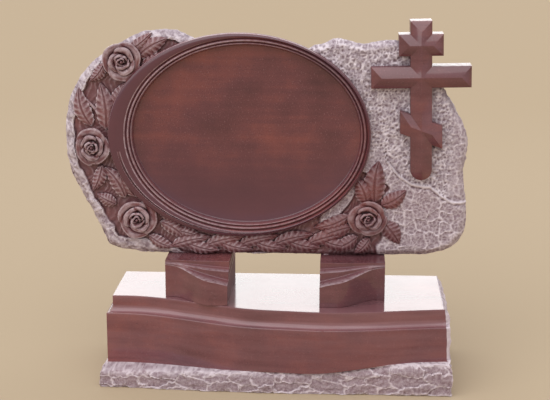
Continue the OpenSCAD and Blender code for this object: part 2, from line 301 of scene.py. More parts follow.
def ring_solid(name, rings, material=0, ends_material=None):
    """A closed solid through rings, an array of ring by point by xyz. Each end is a fan from the middle
    of its ring. The material may be an array with a slot for each face between two rings."""
    m, n = rings.shape[:2]
    ends = np.array([(rings[i].min(0) + rings[i].max(0)) / 2 for i in (0, -1)])
    i = np.arange(n)
    j = (i + 1) % n
    low = np.stack([np.full(n, m * n), j, i], 1)
    high = np.stack([np.full(n, m * n + 1), (m - 1) * n + i, (m - 1) * n + j], 1)
    points = np.vstack([rings.reshape(-1, 3), ends])
    faces = grid_faces(m, n, True).tolist() + low.tolist() + high.tolist()
    if ends_material is not None:
        material = np.concatenate([np.ravel(material), np.repeat(ends_material, n)])
    return link_mesh(name, points, faces, material)


print("a grid of 3 rings of 8 points has", len(grid_faces(3, 8, True)), "faces")

# %% [markdown]
# ## Joining what was never apart
# The stone's pieces are joined by a Boolean, as they were cut from one block. The Manifold solver is
# quick and gives a closed mesh, but it needs closed meshes whose faces all look outwards.

# %% Joining and measuring
def join(target, others, operation="UNION"):
    """Joins or cuts one closed mesh with others by Boolean modifiers, applies them, and drops them."""
    for other in others:
        step = target.modifiers.new("join", "BOOLEAN")
        step.operation = operation
        step.solver = "MANIFOLD"
        step.object = other
        graph = bpy.context.evaluated_depsgraph_get()
        mesh = bpy.data.meshes.new_from_object(target.evaluated_get(graph))
        target.modifiers.remove(step)
        target.data = mesh
        bpy.data.objects.remove(other)
    return target


def triangles(obj):
    """How many triangles an object's mesh comes to."""
    counts = np.zeros(len(obj.data.polygons), np.int32)
    obj.data.polygons.foreach_get("loop_total", counts)
    return int((counts - 2).sum())


def coordinates(obj):
    """The mesh's points as an array."""
    co = np.zeros(len(obj.data.vertices) * 3, np.float32)
    obj.data.vertices.foreach_get("co", co)
    return co.reshape(-1, 3).astype(float)


print("helpers for joining and measuring are ready; nothing is made yet:", len(bpy.data.meshes), "meshes")

# %% [markdown]
# ## The granite's finishes
# One red granite shows four faces here. Polished, it is dark and wet-looking, with fine grains. Carved
# and left matt, it is the same red with paler edges where the chisel bruised the crystals. Split or
# bush-hammered, the bruised surface turns a pale lilac grey. Sawn, it is dull and dusty. Each finish is
# one node tree on object coordinates, so the grain runs through the stone without seams, and these
# helpers add the nodes that all of them need.

# %% Node helpers
def new_material(name):
    """An empty material with its Principled shader, and a small tool for adding linked nodes."""
    mat = bpy.data.materials.new(name)
    mat.use_nodes = True
    tree = mat.node_tree
    shader = tree.nodes["Principled BSDF"]

    def add(kind, inputs=(), **settings):
        node = tree.nodes.new(kind)
        for key, value in settings.items():
            setattr(node, key, value)
        for socket, value in dict(inputs).items():
            if hasattr(value, "links"):
                tree.links.new(value, node.inputs[socket])
            else:
                node.inputs[socket].default_value = value
        return node

    def wire(source, socket):
        tree.links.new(source, shader.inputs[socket])

    return mat, shader, add, wire


def ramp(add, source, stops):
    """A colour ramp from a value, with stops of place and colour."""
    node = add("ShaderNodeValToRGB", {0: source})
    while len(node.color_ramp.elements) < len(stops):
        node.color_ramp.elements.new(0.5)
    for element, (place, colour) in zip(node.color_ramp.elements, stops):
        element.position = place
        element.color = (*colour, 1.0)
    return node.outputs["Color"]


def blend(add, factor, a, b):
    """Mixes two colours: all a where the factor is 0, all b where it is 1."""
    node = add("ShaderNodeMix", data_type="RGBA")
    tree = node.id_data
    for index, value in ((0, factor), (6, a), (7, b)):
        if hasattr(value, "links"):
            tree.links.new(value, node.inputs[index])
        elif index:
            node.inputs[index].default_value = (*value, 1.0)
        else:
            node.inputs[index].default_value = value
    return node.outputs[2]


def band(add, source, low, high, out_low=0.0, out_high=1.0):
    """Maps a value from one range to another, held at both ends."""
    node = add("ShaderNodeMapRange", {0: source, 1: low, 2: high, 3: out_low, 4: out_high})
    return node.outputs[0]


print("a ramp, a blend or a band adds one node and hands back its output")

# %% Noise, attributes and products
def object_noise(add, scale, detail=3.0, roughness=0.55, stretch=None):
    """Noise on object coordinates, which may be stretched along the axes."""
    place = add("ShaderNodeTexCoord").outputs["Object"]
    if stretch:
        place = add("ShaderNodeMapping", {"Vector": place, "Scale": stretch}).outputs[0]
    settings = {"Vector": place, "Scale": scale, "Detail": detail, "Roughness": roughness}
    return add("ShaderNodeTexNoise", settings).outputs["Fac"]


def attribute(add, name):
    """The number stored on each point of the mesh under a name."""
    return add("ShaderNodeAttribute", attribute_name=name).outputs["Fac"]


def times(add, a, b):
    """The product of two values."""
    return add("ShaderNodeMath", {0: a, 1: b}, operation="MULTIPLY").outputs[0]


def show(mat):
    """Prints how many nodes a finish has, and hands the finish back."""
    print(mat.name, "is made with", len(mat.node_tree.nodes), "nodes")
    return mat


print("the finishes read object coordinates and the attributes bare, seam, edge, wear, dust and mauve")

# %% [markdown]
# ## The red of the sound stone
# Granite is a tight mix of crystals: here red feldspar, dark mica and a little rosy quartz. Slow clouds
# with faint level streaks give the body, and two fine noises drop the dark and the rosy grains into it.
# A cell texture would make grains with hard edges, but the real ones melt into one another.

# %% Colours of the granite
DEEP_RED = (0.080, 0.024, 0.031)
BODY_RED = (0.147, 0.043, 0.049)
WARM_RED = (0.250, 0.067, 0.057)
MAUVE_RED = (0.100, 0.033, 0.050)
DUSTY_RED = (0.270, 0.130, 0.145)
# pale pink of bruised edges, which also serves as a painted highlight on them
PINK_BRUISE_AND_HIGHLIGHT = (0.500, 0.390, 0.430)
PALE_LILAC = (0.620, 0.545, 0.600)
# dark mica grains, and the same dark painted into hollows as shade
DARK_GRAIN_AND_SHADE = (0.042, 0.015, 0.021)
# the bruised stone: in its pits, halfway, on its crust, at a speck; then painted shade in a hollow, a ridge pale from
# bruising and a painted highlight, and a seam, which on the slab also carries the lip's painted highlight
PIT_PURPLE = (0.182, 0.115, 0.155)
MIDDLE_LILAC = (0.372, 0.296, 0.348)
CRUST_LILAC = (0.625, 0.545, 0.608)
DARK_SPECK = (0.150, 0.090, 0.110)
HOLLOW_SHADE_PURPLE = (0.150, 0.085, 0.105)
# ridges: pale from bruising and as a painted highlight
RIDGE_BRUISE_AND_HIGHLIGHT = (0.760, 0.680, 0.742)
# seams, and on the slab the lip of the step as a painted highlight
SEAM_AND_LIP_HIGHLIGHT_LILAC = (0.820, 0.740, 0.804)


def red_body(add):
    """The red of the sound stone: slow clouds and faint level streaks of three reds, a mauve tinge in
    places, and dark and rosy grains 2 to 4 mm wide."""
    clouds = object_noise(add, 5.0, 4.0, 0.55)
    streaks = object_noise(add, 34.0, 3.0, 0.55, (0.07, 0.3, 1.3))
    flow = add("ShaderNodeMix", {0: 0.24, 2: clouds, 3: streaks}).outputs[0]
    red = ramp(add, flow, [(0.32, DEEP_RED), (0.50, BODY_RED), (0.66, WARM_RED)])
    red = blend(add, band(add, object_noise(add, 2.6, 2.0), 0.42, 0.66, 0.0, 0.40), red, MAUVE_RED)
    dark = band(add, object_noise(add, 330.0, 2.0, 0.5), 0.56, 0.70, 0.0, 0.55)
    red = blend(add, dark, red, DARK_GRAIN_AND_SHADE)
    rosy = band(add, object_noise(add, 240.0, 2.0, 0.5), 0.60, 0.74, 0.0, 0.45)
    return blend(add, rosy, red, DUSTY_RED)


print("reds, dark to warm:", DEEP_RED, BODY_RED, WARM_RED)

# %% [markdown]
# ## Polished stone
# The panel, the cross's roofs, the broad band of the frame and the base's front are polished until they
# mirror the sky. A low roughness does that, and slow noise keeps it from being as even as glass. The colour is
# the red body, paler where the attribute dust is set: dusty stone on the slab, and on the base and the supports
# also painted reflection and painted light.

# %% Polished stone
STONE_IOR = 1.62


def polished_granite():
    """Polished stone: the red body under a hard, even gloss. The attribute dust makes it paler, for dusty stone
    and, on the base and the supports, for painted reflection and painted light; the attribute mauve makes it cooler."""
    mat, shader, add, wire = new_material("polished granite")
    patchy = band(add, object_noise(add, 26.0, 3.0, 0.6, (0.10, 0.3, 1.2)), 0.34, 0.66, 0.45, 1.55)
    red = blend(add, attribute(add, "mauve"), red_body(add), MAUVE_RED)
    # paler where the dust value is set: dusty stone, and on the base and supports painted reflection and painted light
    wire(blend(add, times(add, attribute(add, "dust_and_painted_light"), patchy), red, DUSTY_RED), "Base Color")
    wire(band(add, object_noise(add, 9.0, 3.0), 0.3, 0.7, 0.09, 0.17), "Roughness")
    shader.inputs["IOR"].default_value = STONE_IOR
    return mat


polished = show(polished_granite())

# %% [markdown]
# ## Carved stone
# Petals, leaves and the frame's beads keep the marks of the chisel: they are painted dark in the hollows as shade,
# and pale along the edges, where the crystals are bruised and a painted highlight is added. Painting that by hand
# would not follow a change of shape, so it reads an attribute that is measured from the mesh further down.

# %% Carved stone
def carved_granite():
    """Carved stone: the red body, painted dark in its hollows as shade and pale on its edges, from bruising and a
    painted highlight, with a fine tooled grain.
    """
    mat, _, add, wire = new_material("carved granite")
    edge, wear = attribute(add, "edge"), attribute(add, "wear")
    red = blend(add, band(add, wear, 0.0, 1.0, 0.08, 0.34), red_body(add), DUSTY_RED)
    # painted shade: the hollows darker
    red = blend(add, band(add, edge, 0.49, 0.30, 0.0, 0.75), red, DARK_GRAIN_AND_SHADE)
    bruise = object_noise(add, 90.0, 4.0)
    # edges paler, from bruising and as a painted highlight
    bruise_and_highlight = times(add, band(add, edge, 0.515, 0.70), band(add, bruise, 0.20, 0.58))
    bruise_and_highlight = times(add, bruise_and_highlight, band(add, wear, 0.0, 1.0, 0.45, 1.0))
    wire(blend(add, bruise_and_highlight, red, PINK_BRUISE_AND_HIGHLIGHT), "Base Color")
    wire(band(add, bruise, 0.3, 0.7, 0.24, 0.42), "Roughness")
    tooling = object_noise(add, 260.0, 3.0)
    grain = add("ShaderNodeBump", {"Height": tooling, "Strength": 0.25, "Distance": 1.5 * MM})
    wire(grain.outputs[0], "Normal")
    return mat


carved = show(carved_granite())

# %% [markdown]
# ## Rough stone
# Split, pitched or bush-hammered, the same red stone looks a pale lilac grey, because every broken
# crystal scatters the light. Seams and ridges are palest, the ridges from bruising and a painted highlight, pits stay
# purple and hollows are painted darker as shade. The ground between the leaves is part of the same height map, so the
# attribute bare fades this finish to a carved red there, with the same painted shade and highlight.

# %% Rough stone
def rough_granite():
    """Split, pitched and bush-hammered stone: pale where bruised, with purple-red pits, painted shade in its hollows
    and a painted highlight on its ridges. Where the attribute bare is low the same surface is the carved red ground
    between the leaves, with the same painted shade and highlight."""
    mat, _, add, wire = new_material("rough granite")
    bare, seam, edge = (attribute(add, name) for name in ("bare", "seam", "edge"))
    pale = ramp(add, object_noise(add, 100.0, 6.0, 0.72),
                [(0.34, PIT_PURPLE), (0.50, MIDDLE_LILAC), (0.66, CRUST_LILAC)])
    speck = band(add, object_noise(add, 420.0, 2.0), 0.35, 0.65)
    pale = blend(add, speck, blend(add, 0.35, pale, DARK_SPECK), blend(add, 0.35, pale, PALE_LILAC))
    # painted shade: the hollows darker
    pale = blend(add, band(add, edge, 0.49, 0.34, 0.0, 0.8), pale, HOLLOW_SHADE_PURPLE)
    # ridges paler, from bruising and as a painted highlight
    pale = blend(add, band(add, edge, 0.52, 0.68, 0.0, 0.75), pale, RIDGE_BRUISE_AND_HIGHLIGHT)
    # seams palest; on the slab this value also holds the lip's painted highlight
    pale = blend(add, band(add, seam, 0.08, 0.85, 0.0, 0.92), pale, SEAM_AND_LIP_HIGHLIGHT_LILAC)
    ground = blend(add, 0.35, red_body(add), DUSTY_RED)
    # the ground: painted shade in its hollows, and ridges paler from bruising and as a painted highlight
    ground = blend(add, band(add, edge, 0.50, 0.30, 0.0, 0.7), ground, DARK_GRAIN_AND_SHADE)
    ground = blend(add, band(add, edge, 0.51, 0.62, 0.0, 0.5), ground, PINK_BRUISE_AND_HIGHLIGHT)
    wire(blend(add, bare, ground, pale), "Base Color")
    wire(band(add, bare, 0.0, 1.0, 0.42, 0.82), "Roughness")
    crust = times(add, object_noise(add, 190.0, 5.0, 0.7), bare)
    grain = add("ShaderNodeBump", {"Height": crust, "Strength": 0.7, "Distance": 3 * MM})
    wire(grain.outputs[0], "Normal")
    return mat


rough = show(rough_granite())

# %% [markdown]
# ## Sawn stone
# Backs and sides that nobody looks at are left from the saw: dull, dusty and faintly lined by the blade.
# Noise drawn out along the cut gives the lines.

# %% Sawn stone, and the four finishes
def sawn_granite():
    """Sawn stone for the sides and backs: dull, a little dusty, with faint level lines from the blade."""
    mat, shader, add, wire = new_material("sawn granite")
    lines = band(add, object_noise(add, 40.0, 3.0, 0.6, (0.08, 1.0, 6.0)), 0.35, 0.65, 0.0, 0.22)
    wire(blend(add, lines, blend(add, 0.42, red_body(add), DUSTY_RED), DEEP_RED), "Base Color")
    shader.inputs["Roughness"].default_value = 0.62
    shader.inputs["Specular IOR Level"].default_value = 0.25
    return mat


POLISHED, CARVED, ROUGH, SAWN = 0, 1, 2, 3
MATERIALS = [polished, carved, rough, show(sawn_granite())]
print("slots:", [m.name for m in MATERIALS])

# %% [markdown]
# ## The slab's outline
# The slab is a split boulder shape: round at the left, with an irregular top and right side. Everything
# on it is placed in shares of its width and height, so a place on the face is two small numbers, and
# moving the slab moves all that is carved on it.

# %% Face of the slab
STELE_W, STELE_H = 1190 * MM, 672 * MM
# the slab stands on supports of this height, and its middle is a little to the left
SUPPORT_H = 112 * MM
SEAT = base_high[2] + SUPPORT_H
FACE_X = -38 * MM
FIELD_Y = 15 * MM
SLAB_T = stele_high[1] - FIELD_Y
print("slab seat at", round(SEAT, 4), "thickness behind the field", round(SLAB_T, 4))

# %% Places on the face
def on_face(u, v):
    """A place on the slab's face in metres: right of its middle and above its seat."""
    return np.array([u * STELE_W, v * STELE_H])


def place(x, z, h):
    """Points in the room from face coordinates: x to the right, z up and h forward of the field."""
    x, z, h = np.broadcast_arrays(x, z, h)
    return np.stack([FACE_X + x, FIELD_Y - h, SEAT + z], -1)


print("top of the face in the room:", place(0.0, STELE_H, 0.0).round(3))

# %% [markdown]
# ## A smooth outline
# A Bezier curve could be drawn by hand, but then its points would need converting before numpy could
# use them. The Catmull-Rom cubic passes through every point it is given and needs nothing else. Two
# more tools space the points evenly and find how far inside the outline a place lies.

# %% Curves
# the outline's points in shares of the slab's width and height
OUTLINE = np.array([
    (-0.330, 0.004), (-0.180, -0.012), (0.000, -0.006), (0.150, -0.010), (0.330, 0.002),
    (0.430, 0.014), (0.484, 0.070), (0.500, 0.160), (0.497, 0.300), (0.491, 0.375), (0.499, 0.490),
    (0.492, 0.580), (0.460, 0.690), (0.425, 0.780), (0.375, 0.880), (0.325, 0.957), (0.236, 0.946),
    (0.183, 0.963), (0.130, 0.940), (0.060, 0.900), (-0.130, 0.920), (-0.176, 0.965),
    (-0.217, 0.996), (-0.260, 1.000), (-0.310, 0.980), (-0.407, 0.885), (-0.472, 0.746),
    (-0.500, 0.540), (-0.486, 0.375), (-0.444, 0.212), (-0.413, 0.102), (-0.390, 0.028)])
OUTLINE_STEPS = 10


def closed_curve(points, steps):
    """A smooth closed curve: between two points p1 and p2 it is the Catmull-Rom cubic, half of
    2 p1 + (p2 - p0) t + (2 p0 - 5 p1 + 4 p2 - p3) t squared + (3 p1 - p0 - 3 p2 + p3) t cubed."""
    p0, p1, p2, p3 = (np.roll(points, k, axis=0)[:, None, :] for k in (1, 0, -1, -2))
    t = (np.arange(steps) / steps)[None, :, None]
    square, cube = 2 * p0 - 5 * p1 + 4 * p2 - p3, 3 * p1 - p0 - 3 * p2 + p3
    curve = 2 * p1 + (p2 - p0) * t + square * t**2 + cube * t**3
    return (curve / 2).reshape(-1, 2)


def even(curve, count):
    """The same closed curve with its points spaced evenly along it."""
    closed = np.vstack([curve, curve[:1]])
    along = np.concatenate([[0], np.cumsum(np.hypot(*np.diff(closed, axis=0).T))])
    at = np.arange(count) / count * along[-1]
    return np.stack([np.interp(at, along, closed[:, k]) for k in (0, 1)], 1)


def outward(curve):
    """Unit normals that point out of a closed curve that runs counterclockwise."""
    d = np.roll(curve, -1, axis=0) - np.roll(curve, 1, axis=0)
    return np.stack([d[:, 1], -d[:, 0]], 1) / np.maximum(np.hypot(*d.T), 1e-9)[:, None]


outline = closed_curve(OUTLINE * [STELE_W, STELE_H], OUTLINE_STEPS)
print("outline:", len(outline), "points, from", outline.min(0).round(3), "to", outline.max(0).round(3))

# %% Inside or outside
def distance_inside(x, z, curve):
    """How far each point lies inside a closed curve, below 0 outside: the nearest distance to its
    straight pieces, signed by how many pieces a line drawn to the right crosses."""
    a, b = curve, np.roll(curve, -1, axis=0)
    best = np.full(x.shape, 1e9)
    odd = np.zeros(x.shape, bool)
    for (ax, az), (bx, bz) in zip(a, b):
        dx, dz = bx - ax, bz - az
        t = np.clip(((x - ax) * dx + (z - az) * dz) / (dx * dx + dz * dz), 0, 1)
        best = np.minimum(best, (x - ax - t * dx) ** 2 + (z - az - t * dz) ** 2)
        if dz:
            odd ^= ((az > z) != (bz > z)) & (x < ax + (z - az) * dx / dz)
    return np.where(odd, 1, -1) * np.sqrt(best)


middle_depth = distance_inside(np.array([0.0]), np.array([STELE_H / 2]), outline)[0]
print("the middle of the face is", round(float(middle_depth), 3), "m inside the outline")

# %% [markdown]
# ## The carved face
# The face is a height map over the slab: the rough rim that stands round the left side, the ground that
# was cut back between rim and frame for the flowers, the finely pitted field behind the cross, and the
# cracked lower field a step higher. Each is a height in millimetres, and soft masks blend them.

# %% Oval panel and frame sizes
PANEL_A, PANEL_B = 334 * MM, 265 * MM
FRAME_RIGHT, FRAME_LEFT, FRAME_TOP, FRAME_BOTTOM = 30 * MM, 72 * MM, 34 * MM, 38 * MM
FRAME_A = PANEL_A + (FRAME_RIGHT + FRAME_LEFT) / 2
FRAME_B = PANEL_B + (FRAME_TOP + FRAME_BOTTOM) / 2
PANEL_AT = on_face(-0.045, 0.548) - [0, 3 * MM]
FRAME_AT = PANEL_AT + [(FRAME_RIGHT - FRAME_LEFT) / 2, (FRAME_TOP - FRAME_BOTTOM) / 2]


def outside_frame(x, z):
    """About how far a point lies outside the frame's outer ellipse, in metres."""
    ex, ez = (x - FRAME_AT[0]) / FRAME_A, (z - FRAME_AT[1]) / FRAME_B
    r = np.maximum(np.hypot(ex, ez), 1e-6)
    return (1 - 1 / r) * np.hypot(x - FRAME_AT[0], z - FRAME_AT[1])


print("frame", round(2 * FRAME_A, 3), "by", round(2 * FRAME_B, 3), "m")
print("panel", round(2 * PANEL_A, 3), "by", round(2 * PANEL_B, 3), "m")

# %% [markdown]
# ## Where each surface of the face lies
# A mason marks out the face before cutting it, and the masks do the same: each is 1 where its surface
# lies, 0 elsewhere, and eases from one to the other over a few millimetres. Separate meshes for each
# surface would leave cracks between them, and masks on one height map can't.

# %% Masks of the face
STEP_LINE = np.array([(0.286, 0.700), (0.292, 0.503), (0.300, 0.436), (0.331, 0.369), (0.362, 0.333),
                      (0.389, 0.323), (0.409, 0.322), (0.434, 0.284), (0.462, 0.254), (0.520, 0.250)])


def face_parts(x, z):
    """Masks over the face: inside (distance from the outline), rim (the rough rim), garden (the ground
    of the flowers, left and below the frame), lower (the lower field, below the curved step line)."""
    inside = distance_inside(x, z, outline)
    u, v = x / STELE_W, z / STELE_H
    wobble = layered(x, 0, z, 0.045, 3) * 7 * MM
    # the flower ground: everything left of the frame's middle, and the strip below the frame
    right_end = 0.300 - 0.10 * ease((v - 0.30) / 0.15) + 0.02 * noise(x, 0, z, 0.03, 5)
    garden = ease((right_end - u) / 0.012) * ease((0.42 - v) / 0.05)
    garden = np.maximum(garden, ease((-0.10 - u) / 0.02))
    patch = np.hypot((u - 0.180 - 0.4 * (v - 0.23)) / 0.026, (v - 0.235) / 0.095)
    garden = garden * (1 - ease((1.15 - patch) / 0.3))
    rim_w = 34 * MM + 12 * MM * ease((0.25 - v) / 0.2) * ease((-0.25 - u) / 0.05)
    rim_w = rim_w - 30 * MM * ease((u + 0.27) / 0.12) * ease((0.3 - v) / 0.1)
    rim = ease((rim_w - inside + wobble) / (4 * MM))
    line = np.interp(u, STEP_LINE[:, 0], STEP_LINE[:, 1], left=2.0)
    lower = ease((line - v) * STELE_H / (3 * MM) + 0.5) * ease((0.50 - v) / 0.12)
    below = (line - v) * STELE_H * 0.85
    on_line = ease((u - 0.285) / 0.01) * ease((0.52 - v) / 0.03) * (1 - garden)
    return inside, rim, garden, lower, below, on_line


sample = np.meshgrid(np.linspace(-0.5, 0.5, 40) * STELE_W, np.linspace(0, 1, 30) * STELE_H)
print("share of the face that is flower ground:", round(float(face_parts(*sample)[2].mean()), 2))

# %% [markdown]
# ## Two kinds of field
# The field behind the cross was struck with a toothed hammer, which leaves small pits in a net of seams.
# The lower field and the right edge are split stone, in larger flakes with seams between them. Both are
# sums of noise and cells. Each comes in millimetres, with the seams apart, because they are also paler.

# %% Pitted field and cracked field
CELL_FINE, CELL_COARSE, CELL_FLAKE, CELL_CHIP = 0.0100, 0.0155, 0.037, 0.013


def pitted_field(x, z):
    """Height in mm of the pitted field and the strength of its net: a fine and a coarse net of seams
    take turns by slow noise, stand up 1.9 mm, and layered noise pits the stone between them."""
    wander = 2.5 * MM * noise(x, 0, z, 0.012, 13)
    turn = 4 * MM * noise(x, 0, z, 0.021, 24)
    net = seams(x + wander + turn, z - wander, CELL_FINE, 0.0034, 11)
    coarse = seams(x - wander - turn, z + turn, CELL_COARSE, 0.0050, 26)
    mix = ease(0.5 + 1.6 * noise(x, 0, z, 0.016, 27))
    net = (net * mix + coarse * (1 - mix)) * (0.75 + 0.45 * noise(x, 0, z, 0.0065, 28))
    return 1.9 * net + 2.3 * layered(x, 0, z, 0.009, 12, 2) + 1.6 * noise(x, 0, z, 0.035, 16) - 0.8, net


def flake_bend(x, z):
    """How far the flakes' cells are pushed out of true, in metres: a slow and a quick noise added."""
    return 9 * MM * noise(x, 0, z, 0.034, 14) + 4 * MM * noise(x, 0, z, 0.013, 18)


def cracked_field(x, z, cracked):
    """Height in mm of the split field with its seams and its chips: each flake has its own level, the
    seams stand 2.2 mm up, chips 0.9 mm, and layered noise roughens all of it."""
    bend = flake_bend(x, z)
    width = 0.0042 * (1 + 0.5 * noise(x, 0, z, 0.05, 19))
    strength = 0.65 + 0.35 * noise(x, 0, z, 0.04, 20)
    big = seams(x + bend, z - bend, CELL_FLAKE, width, 15) * cracked * strength
    level = cells(x + bend, z - bend, CELL_FLAKE, 15)[2] - 0.5
    chips = seams(x - bend, z + bend, CELL_CHIP, 0.003, 25)
    return 2.2 * big + 2.2 * level + 0.9 * chips + 0.9 * layered(x, 0, z, 0.010, 17), big, chips


print("cells of the pitted field:", CELL_FINE, CELL_COARSE, "m, of the cracked field:", CELL_FLAKE, "m")

# %% [markdown]
# ## The whole face in one height map
# The two fields, the chiselled flower ground and the rough rim are mixed by their masks. The step
# between the fields gets a smooth lip, and the rim falls away to the outline in flakes. The same sums
# say where the stone is bare and where a seam runs, so that shape and colour can't part.

# %% Height of the face
LIP_AT, LINE_AT = 2.5 * MM, 9 * MM
RIM_FALL = 22 * MM


def face_height(x, z):
    """Height of the slab's face above the field, with the masks bare and seam for its colour."""
    inside, rim, garden, lower, below, on_line = face_parts(x, z)
    pits, net = pitted_field(x, z)
    cracked = lower + (1 - lower) * 0.8 * ease((x / STELE_W - 0.445) / 0.03)
    flakes, big, chips = cracked_field(x, z, cracked)
    field = pits * (1 - cracked) + flakes * cracked + 5.0 * lower
    # the step between them has a smooth lip, painted pale further down as a highlight where it faces up, and a fine
    # line below it
    lip = np.exp(-(((below - LIP_AT) / (2.8 * MM)) ** 2)) * on_line
    line = np.exp(-(((below - LINE_AT) / (2.2 * MM)) ** 2)) * on_line
    field = field * (1 - 0.8 * lip) + 6.5 * lip - 3.0 * line
    # the flower ground, cut with a round-nosed chisel
    strokes = np.sin(360 * (x - 0.4 * z) + 9 * noise(x, 0, z, 0.04, 22))
    ground = -3.0 + (0.9 * layered(x, 0, z, 0.014, 21) + 0.7 * strokes)
    height = field * (1 - garden) + ground * garden
    # the rim stands proud of the ground and falls away to the outline in pitched flakes
    fall = np.clip(1 - inside / RIM_FALL, 0, 1)
    bend = flake_bend(x, z)
    flake = cells(x + bend, z + bend, 0.040, 33)[2] - 0.5
    pitch = 2.6 * layered(x, 0, z, 0.022, 31) + 1.3 * noise(x, 0, z, 0.006, 32) + 4.0 * flake
    rim_top = 5.0 * garden + 1.5 * (1 - garden) + pitch
    height = height * (1 - rim * garden) + rim_top * rim * garden
    height = height - 24.0 * fall**1.6 + pitch * 0.6 * fall
    # bare stone is pale, and seams, crests and chips are palest; the lip is painted palest too, a painted highlight on
    # the ledge that faces up
    bare = np.clip(1 - garden * (1 - rim), 0, 1) - 0.18 * cracked
    crest = 0.35 * net + 0.75 * net * ease(0.5 + 1.2 * noise(x, 0, z, 0.010, 29))
    # the lip's share of the seam is a painted highlight
    seam = np.clip(0.70 * big + crest * (1 - cracked) + 0.40 * chips * cracked + 0.75 * lip, 0, 1)
    streaks = 0.55 * ease(0.35 + 1.5 * noise(x + z, 0, 0.4 * (x - z), 0.011, 35)) * rim * garden
    return height * MM, bare, seam * (1 - garden) + streaks


row = face_height(np.linspace(0.2, 0.5, 301), np.full(301, 0.7 * STELE_H))[0]
print("a level row behind the cross is", round(float(np.ptp(row)) / MM, 1), "mm deep")

# %% [markdown]
# ## The block, its split sides and its seat
# The slab starts as a block with the finished face, is cut to the outline by a prism whose own sides are
# split stone, and is sawn level where it stands. Pushing the outline's noise into the face's grid would
# stretch its squares, and a Boolean leaves both surfaces as they are.

# %% Block and cutters
FACE_STEP = 2.7 * MM
OUTLINE_COUNT = 720


def stone_block():
    """The slab before its outline is cut: a grid over the whole face, lifted by the face's heights, and
    a flat back. The grid's rim is carried back to close the block."""
    margin = 12 * MM
    lo, hi = outline.min(0) - margin, outline.max(0) + margin
    nx, nz = (int((hi[k] - lo[k]) / FACE_STEP) for k in (0, 1))
    x, z = np.meshgrid(np.linspace(lo[0], hi[0], nx), np.linspace(lo[1], hi[1], nz))
    height, _, _ = face_height(x, z)
    height = np.where(outside_frame(x, z) < -15 * MM, -10 * MM, height)
    front = place(x, z, height).reshape(-1, 3)
    edge = np.concatenate([np.arange(nx - 1), np.arange(nz - 1) * nx + nx - 1,
                           nz * nx - 1 - np.arange(nx - 1), (nz - 1 - np.arange(nz - 1)) * nx])
    back = front[edge] * [1, 0, 1] + [0, FIELD_Y + SLAB_T, 0]
    count = len(front)
    k = np.arange(len(edge))
    sides = np.stack([edge, count + k, count + (k + 1) % len(k), np.roll(edge, -1)], 1)
    faces = grid_faces(nz, nx, False).tolist() + sides.tolist() + [(count + k[::-1]).tolist()]
    return link_mesh("stele", np.vstack([front, back]), faces, ROUGH)


def outline_solid():
    """The slab's outline as a prism with split sides: rings from the back to the front, each drawn in
    or out by noise along the outline and across the thickness, and drawn in at the back's edge."""
    count = OUTLINE_COUNT
    curve = even(outline, count)
    normal = outward(curve)
    depth = np.concatenate([np.linspace(-SLAB_T - 2 * MM, -25 * MM, 14), [-15 * MM, 60 * MM]])
    d = np.repeat(depth[:, None], count, axis=1)
    px, pz = curve[:, 0][None, :], curve[:, 1][None, :]
    flakes = 3.2 * layered(px, d, pz, 0.04, 51) + 2.2 * noise(px, d, pz, 0.011, 52)
    crack = cells(np.arange(count)[None, :] * 4.5 * MM, d, 0.036, 53)[2]
    inset = -0.5 + flakes + 2.5 * crack + 7.0 * ease((-SLAB_T + 14 * MM - d) / (14 * MM))
    inset = inset + 12.0 * np.clip(normal[:, 1], 0, 1)[None, :] * ease(-d / (80 * MM))
    inset = np.where(d > -20 * MM, inset[-3][None, :], inset) * MM
    return ring_solid("outline", place(px - normal[:, 0] * inset, pz - normal[:, 1] * inset, d), ROUGH)


def seat_cutter():
    """A block below the slab: its top is the level of the sawn seat."""
    x0, x1, y0, y1 = -1.0, 1.0, -0.5, 0.5
    corners = np.array([(x0, y0), (x1, y0), (x1, y1), (x0, y1)])
    rings = np.stack([np.column_stack([corners, np.full(4, h)]) for h in (SEAT - 0.3, SEAT)])
    return ring_solid("seat", rings, ROUGH)


print("face grid of", FACE_STEP, "m squares, outline cut in", OUTLINE_COUNT, "steps")

# %% [markdown]
# ## Frame and panel
# The oval frame is one profile carried round an ellipse. From the panel outwards it has a wall, two
# round beads with grooves beside them, and a broad band whose width changes, because its outer ellipse
# is centred to the left of the panel's. Each ring is a mix of the two ellipses. A shallow groove with
# raised lips runs along the band round its lower half, and deepens smoothly from its two ends. A bevelled
# curve could carry a profile too, but its width could not change on the way.

# %% Frame and panel
OVAL_STEPS = 300
# steps over the frame from outside to inside: inset from the outer ellipse, and height, in mm
OUTER_EDGE = [(20, -78), (15, -62), (10, -44), (6, -28), (3, -14), (1, -2), (0, 10), (0, 21),
              (0.7, 25.0), (2.0, 27.8), (3.6, 29.4), (5.5, 30.2)]
# share of the way in across the band, height, and depth of the groove that runs round its lower half
BAND = [(0.18, 31.0, 0), (0.30, 31.3, 0), (0.37, 31.3, -1.0), (0.42, 31.3, 3.2), (0.50, 31.3, 3.2),
        (0.54, 31.3, -1.4), (0.60, 31.3, 0), (0.75, 31.0, 0), (0.95, 30.2, 0)]
# distance outside the panel's edge, and height, down over the beads into the panel
BEADS = [(22.5, 29.2), (21.2, 26.5), (20, 23.2), (18.5, 22), (17.2, 23), (16, 26), (14.6, 28), (13, 28.6),
         (11.4, 28), (10, 25.5), (9, 21.5), (8, 19.5), (7, 20.2), (6, 22.6), (5, 24), (4, 24.4),
         (2.9, 23.9), (1.8, 22), (0.9, 18.5), (0, 13), (-1.2, 8.4), (-2.6, 6.6), (-4.5, 6),
         (-80, 6), (-170, 6), (-250, 6)]


